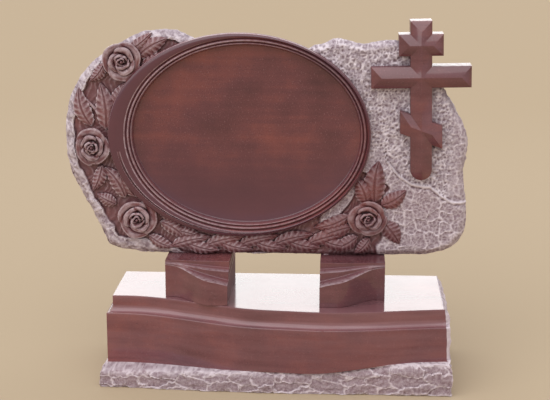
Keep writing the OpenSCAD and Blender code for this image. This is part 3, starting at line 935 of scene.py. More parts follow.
def oval_frame():
    """The frame and the panel inside it as one solid."""
    angle = np.arange(OVAL_STEPS) / OVAL_STEPS * 2 * np.pi
    way = np.stack([np.cos(angle), np.sin(angle)], 1)

    def outer(inset):
        return FRAME_AT + way * [FRAME_A - inset * MM, FRAME_B - inset * MM]

    def inner(w):
        return PANEL_AT + way * [PANEL_A + w * MM, PANEL_B + w * MM]

    rings = [(outer(inset), h) for inset, h in OUTER_EDGE]
    low_half = ease((-way[:, 1] - 0.05) / 0.35)
    rings += [(outer(5.5) * (1 - t) + inner(23) * t, h - cut * low_half) for t, h, cut in BAND]
    rings += [(inner(w), h) for w, h in BEADS]
    slots = np.full((len(rings) - 1, OVAL_STEPS), POLISHED)
    slots[:7] = SAWN
    slots[7:9] = CARVED
    slots[len(OUTER_EDGE) + len(BAND) - 1:-5] = CARVED
    slots[len(OUTER_EDGE) + 2:len(OUTER_EDGE) + 6, low_half > 0.25] = CARVED
    points = np.stack([place(r[:, 0], r[:, 1], h * MM) for r, h in rings])
    return ring_solid("frame", points, slots, (CARVED, POLISHED))


print("frame profile:", len(OUTER_EDGE) + len(BAND) + len(BEADS), "rings of", OVAL_STEPS, "points")

# %% [markdown]
# ## The cross
# Each bar has upright sides and a roof that is hipped at both ends, so the four bars meet in crisp
# valleys where they cross. The lowest bar slopes. The foot of the upright is round. Each is a stack of
# rings drawn in as they rise, and a Boolean finds the valleys, which would be hard to place by hand.

# %% Cross
CROSS_AT = on_face(0.379, 0.805)
LEAN = math.radians(1.3)
BAR_W = 62 * MM
UPRIGHT, MAIN_DROP = 463 * MM, 161 * MM
# each bar's length, its level above the main bar, and its slope in degrees
BARS = [(287 * MM, 0, 0.0), (122 * MM, MAIN_DROP - 314 * MM, 21), (127 * MM, MAIN_DROP - 69 * MM, 0.0)]
# the section, from the back up over the side to the ridge: inset from the side, and height, in mm
ARRIS = [(1.5, -38), (0, -36), (0, -5), (0, 26.8), (0.35, 27.7), (1.1, 28.5), (29.8, 47.2), (30.6, 47.55)]


def on_cross(x, z, h):
    """A place on the cross, from the crossing of its main bar, turned by its lean."""
    c, s = math.cos(LEAN), math.sin(LEAN)
    return place(CROSS_AT[0] + c * x - s * z, CROSS_AT[1] + s * x + c * z, h)


def cross_slots(count):
    """Finishes of a bar's faces: its upright sides are honed and its roof is polished."""
    return np.repeat([CARVED] * 3 + [POLISHED] * (len(ARRIS) - 4), count)


def cross_bar(length, level, slope):
    """A bar across the upright at a level, leaning by a slope in degrees, with upright ends."""
    fall = math.tan(math.radians(slope))
    rings = []
    for inset, h in ARRIS:
        i = inset * MM
        x = (length / 2 - i) * np.array([-1, 1, 1, -1])
        z = (BAR_W / 2 - i) / math.cos(math.radians(slope)) * np.array([-1, -1, 1, 1]) - fall * x + level
        rings.append(on_cross(x, z, h * MM))
    return ring_solid("bar", np.stack(rings), cross_slots(4), (CARVED, POLISHED))


def cross_upright():
    """The upright, with a square top and a round foot."""
    top, low = MAIN_DROP, MAIN_DROP - UPRIGHT + BAR_W / 2
    angle = np.linspace(np.pi, 2 * np.pi, 25)
    rings = []
    for inset, h in ARRIS:
        r = BAR_W / 2 - inset * MM
        x = np.concatenate([r * np.cos(angle), [r, -r]])
        z = np.concatenate([low + r * np.sin(angle), [top - inset * MM] * 2])
        rings.append(on_cross(x, z, h * MM))
    return ring_solid("upright", np.stack(rings), cross_slots(27), (CARVED, POLISHED))


def stone_cross():
    """The three-bar cross as one solid."""
    return join(cross_upright(), [cross_bar(*bar) for bar in BARS])


print("cross:", UPRIGHT, "m high, bars", [round(bar[0], 3) for bar in BARS], "m long")

# %% [markdown]
# ## Roses
# A carved rose is a set of walls that curl round a bud. It could be sculpted, but then no two could be
# made from the same few numbers. Each petal is one closed section, a leaning wall with a flared lip,
# carried along an arc that drifts outwards, so one petal's end slips behind the next one's. Four whorls
# of them stand on a low boss.

# %% Roses
# the wall's section: outwards in shares of its thickness, up in shares of its height, -1 for its root
PETAL = np.array([(-1.00, -1), (0.10, -1), (0.02, 0.22), (0.06, 0.48), (0.24, 0.68), (0.52, 0.76),
                  (0.70, 0.84), (0.66, 0.95), (0.42, 1.01), (0.14, 1.0), (-0.12, 0.90), (-0.34, 0.68),
                  (-0.62, 0.36)])
# whorls: radius in shares of the rose's, number, span in degrees, height and thickness in mm
WHORLS = [(0.78, 3, 156, 24, 22), (0.50, 3, 142, 32, 17), (0.28, 2, 214, 38, 11), (0.13, 1, 320, 43, 7)]
ROSE_R, ROOT = 56 * MM, -5 * MM


def petal(centre, stretch, radius, high, thick, turn, span, seed):
    """A petal round a centre: its wall's radius grows from 0.88 to 1.12 of its own along the arc, its
    height and thickness rise and fall as the 0.4th power of a half sine, and waves ripple its lip."""
    t = np.linspace(0.0, 1.0, 26)[:, None]
    swell = np.sin(np.pi * np.clip(t, 0.003, 0.997)) ** 0.4
    angle = turn + span * (t - 0.5)
    ripple = np.sin(3.1 * angle + seed) + 0.5 * np.sin(7.3 * angle + 2 * seed)
    out, up = PETAL[:, 0][None, :], PETAL[:, 1][None, :]
    lip = np.clip(up, 0, 1)
    rho = radius * (0.88 + 0.24 * t) + thick * swell * out + 1.5 * MM * ripple * lip
    h = np.where(up < 0, ROOT, high * (0.55 + 0.45 * swell) * lip + 1.2 * MM * ripple * lip**2)
    x = centre[0] + rho * np.cos(angle)
    z = centre[1] + rho * np.sin(angle) * stretch
    return ring_solid("petal", place(x, z, h), CARVED)


def dome(centre, radius, high, stretch):
    """A low round boss: rings that follow a quarter circle from its foot to its top."""
    angle = np.arange(28) / 28 * 2 * np.pi
    q = np.linspace(0, np.pi / 2 * 0.97, 8)
    levels = [(radius, ROOT)] + [(radius * math.cos(k), high * math.sin(k)) for k in q]
    x, z = np.cos(angle), np.sin(angle)
    rings = [place(centre[0] + r * x, centre[1] + r * z * stretch, h) for r, h in levels]
    return ring_solid("boss", np.stack(rings), CARVED)


def rose(u, v, size, turn, stretch, seed):
    """A rose at a place on the face: a boss, four whorls of petals and a bud. Each petal's turn, radius,
    height and thickness are jogged a little by numbers of its own."""
    centre, radius = on_face(u, v), ROSE_R * size
    parts = [dome(centre, radius * 0.13, 44 * MM, stretch)]
    for n, (share, count, span, high, thick) in enumerate(WHORLS):
        for k in range(count):
            j = int(seed * 100 + n * 10 + k)
            jog = [float(scramble(j, 3, m, 7)) - 0.5 for m in range(4)]
            angle = turn + 360 / count * k + 37 * n + 16 * jog[0]
            wall = radius * (share + 0.04 * jog[1])
            top, stout = high * MM * (1 + 0.14 * jog[2]), thick * MM * size * (1 + 0.2 * jog[3])
            parts.append(petal(centre, stretch, wall, top, stout, math.radians(angle), math.radians(span), j))
    return join(dome(centre, radius * 0.84, 13 * MM, stretch), parts)


# place on the face, size, turn in degrees, stretch upwards and a number for its own ripples
ROSES = [(-0.347, 0.862, 1.0, 30, 1.0, 1), (-0.427, 0.484, 0.86, 80, 1.12, 2),
         (-0.318, 0.163, 1.0, 0, 1.0, 3), (0.257, 0.177, 0.98, 50, 0.92, 4)]
print(len(ROSES), "roses of", sum(row[1] for row in WHORLS), "petals each")

# %% [markdown]
# ## Leaves and stems
# A leaf is a bowed midrib with a blade on each side. Pleats run out from the midrib towards the tip,
# and the edge is toothed where they end. A flat leaf with a bump texture would show no edge against the
# ground, so each leaf is a closed solid that sinks into it.

# %% Leaves and stems
LEAF_RISE, PLEATS = 20 * MM, 6
STEM_R, STEM_H = 4.5 * MM, 9 * MM


def leaf(p, q, width, bow):
    """A leaf from its stalk at p to its tip at q. Its half width is the 0.8th power of a half sine that
    leans to the stalk, its pleats are waves that slant to the tip, and its midrib is a cut line."""
    p, q = on_face(*p), on_face(*q)
    length = np.hypot(*(q - p))
    along = (q - p) / length
    side = np.array([-along[1], along[0]])
    t = np.linspace(0.004, 0.996, 6 * PLEATS + 2)[:, None]
    s = np.linspace(-1, 1, 13)[None, :]
    # the pleats counted along the midrib: each ends in a tooth, and its wave slants to the tip
    pleat = t * PLEATS * 1.15
    half = (width / 2 * MM * np.sin(np.pi * t**0.8) ** 0.8 + 0.5 * MM) * (0.90 + 0.16 * (pleat % 1.0))
    wave = np.cos(2 * np.pi * (pleat - 0.75 * np.abs(s)))
    crown = 0.50 + 0.50 * (1 - np.abs(s) ** 1.7)
    body = LEAF_RISE * (0.50 + 0.50 * np.sin(np.pi * t)) * crown
    fold = 1.5 * MM * wave * np.clip(1.25 * np.abs(s), 0, 1) * np.sin(np.pi * t) ** 0.5
    rib = -2.6 * MM * np.exp(-((s / 0.12) ** 2))
    centre = p + (q - p) * t + side * bow * MM * np.sin(np.pi * t)
    x = centre[:, :1] + side[0] * half * s
    z = centre[:, 1:] + side[1] * half * s
    h = body + fold + rib
    ends = np.array([[1.0, 0.0, -1.0]]) * half
    under = place(centre[:, :1] + side[0] * ends, centre[:, 1:] + side[1] * ends, -7 * MM)
    return ring_solid("leaf", np.concatenate([place(x, z, h), under], 1), CARVED)


def stem(points):
    """A stem: a round section carried along a line through points on the face, which is smoothed by
    averaging each point with its neighbours."""
    knots = np.array([on_face(*p) for p in points])
    ts = np.linspace(0, len(knots) - 1, 30)
    line = np.stack([np.interp(ts, np.arange(len(knots)), knots[:, k]) for k in (0, 1)], 1)
    for _ in range(12):
        line[1:-1] = (line[:-2] + 2 * line[1:-1] + line[2:]) / 4
    d = np.gradient(line, axis=0)
    side = np.stack([-d[:, 1], d[:, 0]], 1) / np.hypot(*d.T)[:, None]
    a = np.arange(10) / 10 * 2 * np.pi
    x = line[:, :1] + side[:, :1] * STEM_R * np.cos(a)
    z = line[:, 1:] + side[:, 1:] * STEM_R * np.cos(a)
    return ring_solid("stem", place(x, z, STEM_H - STEM_R + STEM_R * np.sin(a)), CARVED)


print("a leaf has about", PLEATS, "pleats to a side and stands", LEAF_RISE, "m high")

# %% Where the leaves lie
# the stalk, the tip, the width and the bow, the last two in mm
LEAVES = [
    # round the upper left rose
    ((-0.312, 0.880), (-0.236, 0.962), 48, 6), ((-0.335, 0.900), (-0.275, 0.985), 38, -4),
    ((-0.300, 0.850), (-0.226, 0.906), 40, -6), ((-0.392, 0.850), (-0.430, 0.772), 34, 6),
    # between the two left roses
    ((-0.428, 0.575), (-0.458, 0.745), 50, 10), ((-0.392, 0.560), (-0.404, 0.765), 60, -8),
    ((-0.368, 0.640), (-0.342, 0.770), 44, 4), ((-0.360, 0.560), (-0.348, 0.640), 34, 3),
    # between the middle left and the lower left roses
    ((-0.405, 0.400), (-0.430, 0.285), 38, 6), ((-0.348, 0.255), (-0.398, 0.392), 50, -10),
    ((-0.322, 0.258), (-0.356, 0.415), 44, 8), ((-0.372, 0.225), (-0.420, 0.270), 36, 0),
    ((-0.292, 0.245), (-0.318, 0.330), 36, 3),
    # between the lower left rose and the garland
    ((-0.268, 0.215), (-0.212, 0.130), 40, 6), ((-0.262, 0.150), (-0.196, 0.070), 44, 8),
    ((-0.292, 0.085), (-0.228, 0.030), 36, -4), ((-0.228, 0.110), (-0.160, 0.082), 34, 4),
    # between the garland and the lower right rose
    ((0.212, 0.185), (0.122, 0.128), 44, 7), ((0.216, 0.135), (0.128, 0.078), 46, -5),
    ((0.232, 0.092), (0.165, 0.032), 42, 5), ((0.262, 0.085), (0.225, 0.015), 36, 4),
    # round the lower right rose
    ((0.272, 0.245), (0.281, 0.432), 66, 6), ((0.254, 0.240), (0.226, 0.352), 54, -6),
    ((0.288, 0.232), (0.350, 0.302), 48, -5), ((0.292, 0.160), (0.336, 0.060), 54, 5)]
# the garland below the frame is five pairs of leaves, each pair a step further right
GARLAND_PAIRS, GARLAND_STEP = 5, 0.085
for k in range(GARLAND_PAIRS):
    over = GARLAND_STEP * k
    LEAVES += [((-0.235 + over, 0.038 + 0.004 * k), (-0.135 + over, 0.080 + 0.006 * k), 41, 6),
               ((-0.205 + over, 0.062 + 0.004 * k), (-0.115 + over, 0.020 + 0.006 * k), 38, -5)]
STEMS = [[(-0.405, 0.585), (-0.412, 0.640), (-0.440, 0.690)],
         [(-0.385, 0.545), (-0.362, 0.600), (-0.365, 0.660)]]
print(len(LEAVES), "leaves and", len(STEMS), "stems")

# %% [markdown]
# ## Edges and hollows, for wear and painted light
# A chiselled edge bruises pale; the finishes also paint it paler as a highlight, and paint a hollow darker as shade.
# To know which is which, the mesh is smoothed a few times: a point on a ridge sinks inwards and a point in a hollow
# comes out. How far it moved along its normal is stored on each point as the attribute edge. The Bevel node and the
# Geometry node's Pointiness find edges too, but at one small scale, or at the cost of many more rays.

# %% Edges and hollows
EDGE_ROUNDS, EDGE_REACH, LONG_EDGE = 6, 4.0 * MM, 12 * MM


def edge_values(obj):
    """For each point, 0.5 on an even face, towards 1 on a ridge and towards 0 in a hollow: half minus
    half of how far the smoothed point lies outwards, over the reach. Long edges are left out of the
    smoothing, because they cross plain faces."""
    mesh = obj.data
    pairs = np.zeros(len(mesh.edges) * 2, np.int32)
    mesh.edges.foreach_get("vertices", pairs)
    a, b = pairs.reshape(-1, 2).T
    count = len(mesh.vertices)
    co = coordinates(obj)
    normal = np.zeros(count * 3, np.float32)
    mesh.vertex_normals.foreach_get("vector", normal)
    short = (np.linalg.norm(co[a] - co[b], axis=1) < LONG_EDGE).astype(float)
    degree = np.maximum(np.bincount(a, short, count) + np.bincount(b, short, count), 1e-6)[:, None]
    smooth = co.copy()
    for _ in range(EDGE_ROUNDS):
        total = [np.bincount(a, short * smooth[b, k], count) + np.bincount(b, short * smooth[a, k], count)
                 for k in range(3)]
        smooth = np.where(degree > 0.5, 0.5 * smooth + 0.5 * np.stack(total, 1) / degree, smooth)
    away = ((smooth - co) * normal.reshape(-1, 3)).sum(1)
    return np.clip(0.5 - 0.5 * away / EDGE_REACH, 0, 1)


print("edges are felt over", EDGE_REACH, "m in", EDGE_ROUNDS, "rounds")

# %% Attributes, limits and shading
def set_value(obj, name, values):
    """Stores one number on each point of a mesh."""
    attribute = obj.data.attributes.new(name, "FLOAT", "POINT")
    attribute.data.foreach_set("value", np.asarray(values, np.float32))


def keep_within(obj, low, high):
    """Brings any point that strays outside a box back to its wall."""
    co = np.clip(coordinates(obj), low + 0.05 * MM, high - 0.05 * MM)
    obj.data.vertices.foreach_set("co", co.astype(np.float32).ravel())
    obj.data.update()


def shade(obj, angle):
    """Smooth shading with creases where two faces meet at more than the angle, in degrees."""
    obj.data.polygons.foreach_set("use_smooth", np.ones(len(obj.data.polygons), bool))
    obj.data.set_sharp_from_angle(angle=math.radians(angle))


print("boxes to keep within: base", base_low.round(3), base_high.round(3), "slab", stele_low.round(3),
      stele_high.round(3))

# %% [markdown]
# ## The carved slab
# All the pieces of the slab are cut from one stone, so they become one closed mesh. The block's face is
# cut to the outline, sawn level at its seat, and the frame, cross, flowers and leaves are joined to it.

# %% Join the slab
stele = join(stone_block(), [outline_solid()], "INTERSECT")
stele = join(stele, [seat_cutter()], "DIFFERENCE")
print("slab cut to outline:", triangles(stele), "triangles")
garden_leaves = [leaf(*row) for row in LEAVES] + [stem(line) for line in STEMS]
foliage = join(garden_leaves[0], garden_leaves[1:])
blooms = [rose(*row) for row in ROSES]
stele = join(stele, [foliage] + blooms + [oval_frame(), stone_cross()])
print("whole slab:", triangles(stele), "triangles, volume", round(enclosed(stele.data), 4))

# %% [markdown]
# ## Where the slab is bare, worn and cool
# The finishes read numbers that are stored on the points: how bare the stone is, where seams and edges
# run, how worn, dusty or mauve it is. They are stored after the Booleans, because a Boolean makes new
# points, and from the same sums as the shape. The roses' lips are palest, from bruising and a painted highlight,
# and their buds paler still, as a painted highlight.

# %% Finish of the slab
SLAB_CREASE = 38.0


def finish_slab(obj):
    """Stores where the slab is bare rough stone, where a seam runs and where its edges are, and gives
    the sawn back a plain finish."""
    co = coordinates(obj)
    x, z = co[:, 0] - FACE_X, co[:, 2] - SEAT
    _, bare, seam = face_height(x, z)
    on_side = co[:, 1] > FIELD_Y + 24 * MM
    set_value(obj, "bare", np.where(on_side, 1.0, bare))
    set_value(obj, "seam", np.where(on_side, 0.3 * seams(x + z, co[:, 1], 0.03, 0.004, 61), seam))
    edge, wear = edge_values(obj), ease((0.12 - x / STELE_W) / 0.30)
    for u, v, size, _, stretch, _ in ROSES:
        cx, cz = on_face(u, v)
        reach = np.hypot(x - cx, (z - cz) / stretch) / (ROSE_R * size)
        on_rose = ease((1.12 - reach) / 0.10)
        # on the roses: lips paler from bruising and a painted highlight, hollows less dark, and the bud paler still as
        # a painted highlight
        lips_and_highlight = 0.5 + 1.9 * np.clip(edge - 0.620, 0, 1) + 0.9 * np.clip(edge - 0.5, -1, 0)
        edge = edge + on_rose * (lips_and_highlight - edge) + 0.08 * ease((0.34 - reach) / 0.08)
        wear = wear * (1 - 0.45 * on_rose)
    set_value(obj, "edge", edge)
    set_value(obj, "wear", wear)
    # the stone is cooler towards the foot of the panel and round its frame, and dusty on the cross
    on_band = ease((np.hypot((x - PANEL_AT[0]) / PANEL_A, (z - PANEL_AT[1]) / PANEL_B) - 1.02) / 0.04)
    in_frame = ease((4 * MM - outside_frame(x, z)) / (4 * MM))
    cool = 0.85 * ease((PANEL_AT[1] + 20 * MM - z) / 0.22)
    set_value(obj, "mauve", in_frame * (cool + on_band * (0.90 - cool)))
    set_value(obj, "dust_and_painted_light", 0.18 * (1 - in_frame))
    centre = np.zeros(len(obj.data.polygons) * 3, np.float32)
    obj.data.polygons.foreach_get("center", centre)
    slots = np.zeros(len(obj.data.polygons), np.int32)
    obj.data.polygons.foreach_get("material_index", slots)
    at_back = centre.reshape(-1, 3)[:, 1] > FIELD_Y + SLAB_T - 0.5 * MM
    obj.data.polygons.foreach_set("material_index", np.where(at_back, SAWN, slots).astype(np.int32))
    shade(obj, SLAB_CREASE)
    print("edge values:", edge.min().round(2), "to", edge.max().round(2))


stele.name = stele.data.name = "carved_slab"
keep_within(stele, stele_low, stele_high)
finish_slab(stele)
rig.replaces(stele, "stele")
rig.ride(stele, "root")
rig.slot(stele, "carved_granite")

# %% [markdown]
# ## The two supports
# Each block has a front like an ogee: its inner half stands forward and its outer half is set back. Its
# front is cut in three layers, and the ledges between them fan out from the outer top corner. Cutting a
# plain block three times would need three curved cutters, but rings whose front has a curve and a level
# of its own give the ledges at once.

# %% Supports
SUPPORT_W, SUPPORT_BACK = 190 * MM, 152 * MM
SUPPORT_FRONT = -60 * MM
OGEE_OUT, LEDGE_LOW, LEDGE_TOP = 80 * MM, 62 * MM, 19 * MM
# the attribute edge of each ring from the foot up: the two ledges are painted pale in front as a highlight and dark
# behind as shade
LEDGE_PAINTED_LIGHT = [0.54, 0.54, 0.62, 0.68, 0.45, 0.45, 0.54, 0.66, 0.46, 0.46, 0.54, 0.54]
SUPPORT_STEPS, SIDE_STEPS = 61, 8
# the supports' dust value is painted light that lifts the shade the slab casts on them
SUPPORT_WEAR, SUPPORT_PAINTED_LIGHT, SUPPORT_CREASE = 0.60, 0.20, 14


def support(name, middle, mirrored):
    """A support from its foot up: rings whose front is set by its own ogee and level at each share t of
    its width, from the outer to the inner side."""
    t = np.linspace(0, 1, SUPPORT_STEPS)
    ogee = ease((t - 0.12) / 0.62)

    def front(out, back=0.0):
        return SUPPORT_FRONT - 4 * MM - OGEE_OUT * out * ogee + back * MM

    low = SUPPORT_H - 11 * MM - (SUPPORT_H - LEDGE_LOW - 11 * MM) * t**1.35
    high = SUPPORT_H - 5 * MM - (LEDGE_TOP - 5 * MM) * t**1.2
    cut = (1.5 + 4 * np.sin(np.pi * np.minimum(t * 1.05, 1)) ** 2) * MM
    # the front of each ring and its height: the lowest layer, the middle layer and the top layer
    levels = [(front(1, 1.0), 0 * t), (front(1), 0 * t + 1 * MM),
              (front(1), low - cut - 1 * MM), (front(1, 0.5), low - cut),
              (front(0.42, -2.2), low + 1.6 * MM), (front(0.42, -1.0), low + 3 * MM),
              (front(0.42), high - 5 * MM), (front(0.42, 0.6), high - 4 * MM),
              (front(0.08, 1.6), high - 0.5 * MM), (front(0.08, 3.0), high + 1 * MM),
              (front(0.08, 3.0), 0 * t + SUPPORT_H - 0.5 * MM), (front(0.08, 3.6), 0 * t + SUPPORT_H)]
    rings = []
    for y, z in levels:
        side = np.linspace(y[-1], SUPPORT_BACK, SIDE_STEPS + 1)[1:]
        other = np.linspace(SUPPORT_BACK, y[0], SIDE_STEPS + 1)[:-1]
        rise = np.concatenate([z, np.linspace(z[-1], z.mean(), SIDE_STEPS + 1)[1:],
                               np.linspace(z.mean(), z[0], SIDE_STEPS + 1)[:-1]])
        half = np.full(SIDE_STEPS, SUPPORT_W / 2)
        x = np.concatenate([(t - 0.5) * SUPPORT_W, half, -half])
        rings.append(np.stack([x, np.concatenate([y, side, other]), rise], 1))
    rings = np.array(rings)
    slots = np.full((len(levels) - 1, rings.shape[1]), POLISHED)
    slots[:, len(t) - 1:] = SAWN
    slots[[2, 3, 7, 8]] = CARVED
    rings[..., 0] = middle + (-rings[..., 0] if mirrored else rings[..., 0])
    rings[..., 2] += base_high[2]
    return ring_solid(name, rings, slots, (CARVED, POLISHED))


print("a support has", len(LEDGE_PAINTED_LIGHT), "rings of", SUPPORT_STEPS + 2 * SIDE_STEPS, "points")

# %% Make the two supports
LEFT_AT, RIGHT_AT = -233.5 * MM, 223.5 * MM
supports = [support("left_block", LEFT_AT, False), support("right_block", RIGHT_AT, True)]
for block, node in zip(supports, ("left_support", "right_support")):
    count = len(block.data.vertices)
    # every ring has the same number of points, and the last two points are the middles of the ends
    levels = np.repeat(LEDGE_PAINTED_LIGHT, (count - 2) // len(LEDGE_PAINTED_LIGHT))
    # the ledges' edge values paint a highlight on their fronts and shade behind them
    set_value(block, "edge", np.append(levels, [0.5, 0.5]))
    set_value(block, "wear", np.full(count, SUPPORT_WEAR))
    # painted light: lifts the slab's shade on the blocks
    set_value(block, "dust_and_painted_light", np.full(count, SUPPORT_PAINTED_LIGHT))
    shade(block, SUPPORT_CREASE)
    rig.replaces(block, node)
    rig.ride(block, "root")
    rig.slot(block, "polished_granite")
    print(block.name, triangles(block), "triangles")

# %% [markdown]
# ## The base
# The base has a plain upper tier, a cove, a polished wavy front and a rough pitched foot. Again it is a
# stack of rings, because each level has the same wavy front at a distance of its own. The foot and the
# right end are split stone, so their points are moved in and out, which needs small steps there.

# %% Base
BASE_W, BASE_D, BASE_H = 978 * MM, 410 * MM, base_high[2]
TIER_H, COVE_H, COVE_OUT, FOOT_H = 34 * MM, 15 * MM, 17 * MM, 62 * MM
FOOT_LEFT, FOOT_RIGHT, WAVE_OUT = 28 * MM, 26 * MM, 133 * MM
BASE_LEFT = -BASE_W / 2 + (FOOT_LEFT - FOOT_RIGHT) / 2
TIER_FRONT = -BASE_D / 2 + WAVE_OUT + 13 * MM
# steps along the front, each end and the back, and up the foot
FRONT_N, END_N, BACK_N, FOOT_N = 420, 110, 60, 30


def front_wave(s):
    """How far the front stands forward of its left end at a share s of the width: a long smooth step
    forward, a little more past the middle, and a step back at the right."""
    forward = 0.90 * ease((s - 0.04) / 0.46) + 0.10 * ease((s - 0.45) / 0.20)
    return WAVE_OUT * (forward - 0.42 * ease((s - 0.64) / 0.48))


def foot_line(s):
    """Height of the polished face's lower edge at a share s of the width: level, then a step up at the
    right."""
    return FOOT_H * (0.86 + 0.17 * ease(s / 0.5) + 0.55 * ease((s - 0.58) / 0.36))


print("front stands forward by", front_wave(np.linspace(0, 1, 5)).round(3), "m in quarters of the width")

# %% Rings of the base
def around(x, y, z, back_y):
    """A ring round the base from the points of its front: the right end, the back and the left end."""
    end = np.arange(1, END_N + 1) / (END_N + 1)
    back = np.linspace(0, 1, BACK_N + 1)
    rx = np.concatenate([x, np.full(END_N, x[-1]), x[-1] + (x[0] - x[-1]) * back, np.full(END_N, x[0])])
    ry = np.concatenate([y, y[-1] + (back_y - y[-1]) * end, np.full(BACK_N + 1, back_y),
                         back_y + (y[0] - back_y) * end])
    rz = np.concatenate([z, np.full(END_N, z[-1]), z[-1] + (z[0] - z[-1]) * back, np.full(END_N, z[0])])
    return np.stack([rx, ry, rz], 1)


def base_rings():
    """The base's rings from its underside to its top, and a number for each that says how rough it is."""
    s = np.linspace(0, 1, FRONT_N + 1)
    foot, tier_y = foot_line(s), TIER_FRONT - front_wave(s)
    rings, rough = [], []

    def foot_ring(inset, z):
        x = BASE_LEFT - FOOT_LEFT + inset + (BASE_W + FOOT_LEFT + FOOT_RIGHT - 2 * inset) * s
        y = inset - BASE_D / 2 + 26 * MM * (1 - ease(s / 0.45))
        rings.append(around(x, y, z, BASE_D / 2 - inset))
        rough.append(1.0)

    def tier_ring(out, right, z, amount=0.0):
        x = BASE_LEFT - out + (BASE_W + out + right) * s
        rings.append(around(x, tier_y - out, z, BASE_D / 2 - 12 * MM))
        rough.append(amount)

    foot_ring(7 * MM, 0 * s)
    for q in np.linspace(0.02, 1, FOOT_N):
        draw_in = 2 + 3 * abs(q - 0.45) ** 1.5 + 7 * max(q - 0.75, 0) ** 2 / 0.0625
        foot_ring(draw_in * MM, 0.95 * q**0.9 * foot)
    # two rings between the foot and the polished front, less and less rough
    low = rings[-1]
    tier_ring(COVE_OUT, 6 * MM, foot)
    top = rings[-1]
    rings[-1:] = [low * 0.65 + top * 0.35, low * 0.3 + top * 0.7, top]
    rough[-1:] = [0.8 - 0.35, 0.8 - 0.7, 0.0]
    # the polished front, the cove and the upper tier with its narrow arris
    tier_low = BASE_H - TIER_H - COVE_H
    for q in np.linspace(0, 1, 26)[1:]:
        tier_ring(COVE_OUT, (6 - 4 * q) * MM, foot + (tier_low - 3 * MM - foot) * q)
    tier_ring(COVE_OUT - 0.6 * MM, 1.5 * MM, 0 * s + tier_low - 1.0 * MM)
    for q in np.linspace(0, 1, 9) * np.pi / 2:
        out = (COVE_OUT - 2 * MM) * (1 - math.sin(q))
        tier_ring(out, 1 * MM, 0 * s + tier_low + COVE_H * (1 - math.cos(q)))
    for q in np.linspace(0, 1, 7)[1:]:
        tier_ring(0.0, 0.0, 0 * s + BASE_H - TIER_H + (TIER_H - 1.2 * MM) * q)
    tier_ring(-0.4 * MM, -0.4 * MM, 0 * s + BASE_H - 0.3 * MM)
    tier_ring(-1.2 * MM, -1.2 * MM, 0 * s + BASE_H)
    tier_ring(-3.5 * MM, -3.5 * MM, 0 * s + BASE_H)
    return np.array(rings), np.array(rough)


print("rings of the base, and points in each:", base_rings()[0].shape[:2])

# %% [markdown]
# ## The split foot and end
# The foot is pitched off with a broad chisel, which leaves long level flakes with seams between them.
# The same cells move the points and, later, colour the seams. Points move along the ring's own normal,
# so the foot keeps its line, and the rings' roughness fades the movement out at the polished front.

# %% Split foot and end
FLAKE, SEAM_W = 0.040, 0.0028


def foot_flakes(x, y, z):
    """Warped coordinates for the foot's flakes: along the stone's side and up, drawn out lengthwise."""
    along = x + y * np.sign(x)
    warp = 13 * MM * noise(along, 0, z, 0.030, 76) + 6 * MM * noise(along, 0, z, 0.011, 78)
    return along * 0.52 + warp, z * 1.30 - 0.7 * warp


def granite_base():
    """The base as one solid, with its foot and right end split."""
    rings, rough = base_rings()
    m, n = rings.shape[:2]
    d = np.roll(rings, -1, axis=1) - np.roll(rings, 1, axis=1)
    long = np.maximum(np.hypot(d[..., 0], d[..., 1]), 1e-9)
    normal = np.stack([d[..., 1], -d[..., 0]], -1) / long[..., None]
    x, y, z = rings[..., 0], rings[..., 1], rings[..., 2]
    along = x + y * np.sign(x)
    line, level = foot_flakes(x, y, z)
    flake = 4.5 * (cells(line, level, FLAKE, 75)[2] - 0.5) + 1.4 * seams(line, level, FLAKE, 0.003, 75)
    pitch = 1.9 * layered(along, 0, z, 0.026, 71) + flake + 0.9 * noise(along, 0, z, 0.007, 73)
    column = np.arange(n)[None, :]
    right = ease((column - FRONT_N + 0.5) / 1.5) * ease((FRONT_N + END_N + 2 - column) / 2)
    right = right * (z < BASE_H - 0.1 * MM)
    amount = np.maximum(rough[:, None], right * 0.9)
    bulge = 15.0 * right * (1 - rough[:, None]) * ease((BASE_H - z) / (22 * MM))
    rings[..., :2] += normal * (((pitch - 2.4) * amount + bulge) * MM)[..., None]
    top = FOOT_N + 2
    rings[1:top, :, 2] += 1.2 * MM * noise(along, 0, z, 0.02, 74)[1:top]
    slots = np.full((m - 1, n), POLISHED)
    slots[:top] = ROUGH
    slots[top:, FRONT_N:FRONT_N + END_N + 1] = ROUGH
    slots[top:, FRONT_N + END_N + 1:FRONT_N + END_N + BACK_N + 1] = SAWN
    return ring_solid("granite_base", rings, slots, (ROUGH, POLISHED))


print("flakes of the foot are", FLAKE, "m long before they are drawn out")

# %% Finish of the base
BASE_CREASE, FOOT_BARE = 40, 0.70
# dust on the polished front, and how much more there is on the tier and in the cove; on the front and the tier it is
# also painted reflection, in the cove a painted highlight
FRONT_DUST_AND_REFLECTION, TIER_DUST_AND_REFLECTION, COVE_DUST_AND_HIGHLIGHT = 0.26, 0.10, 0.45


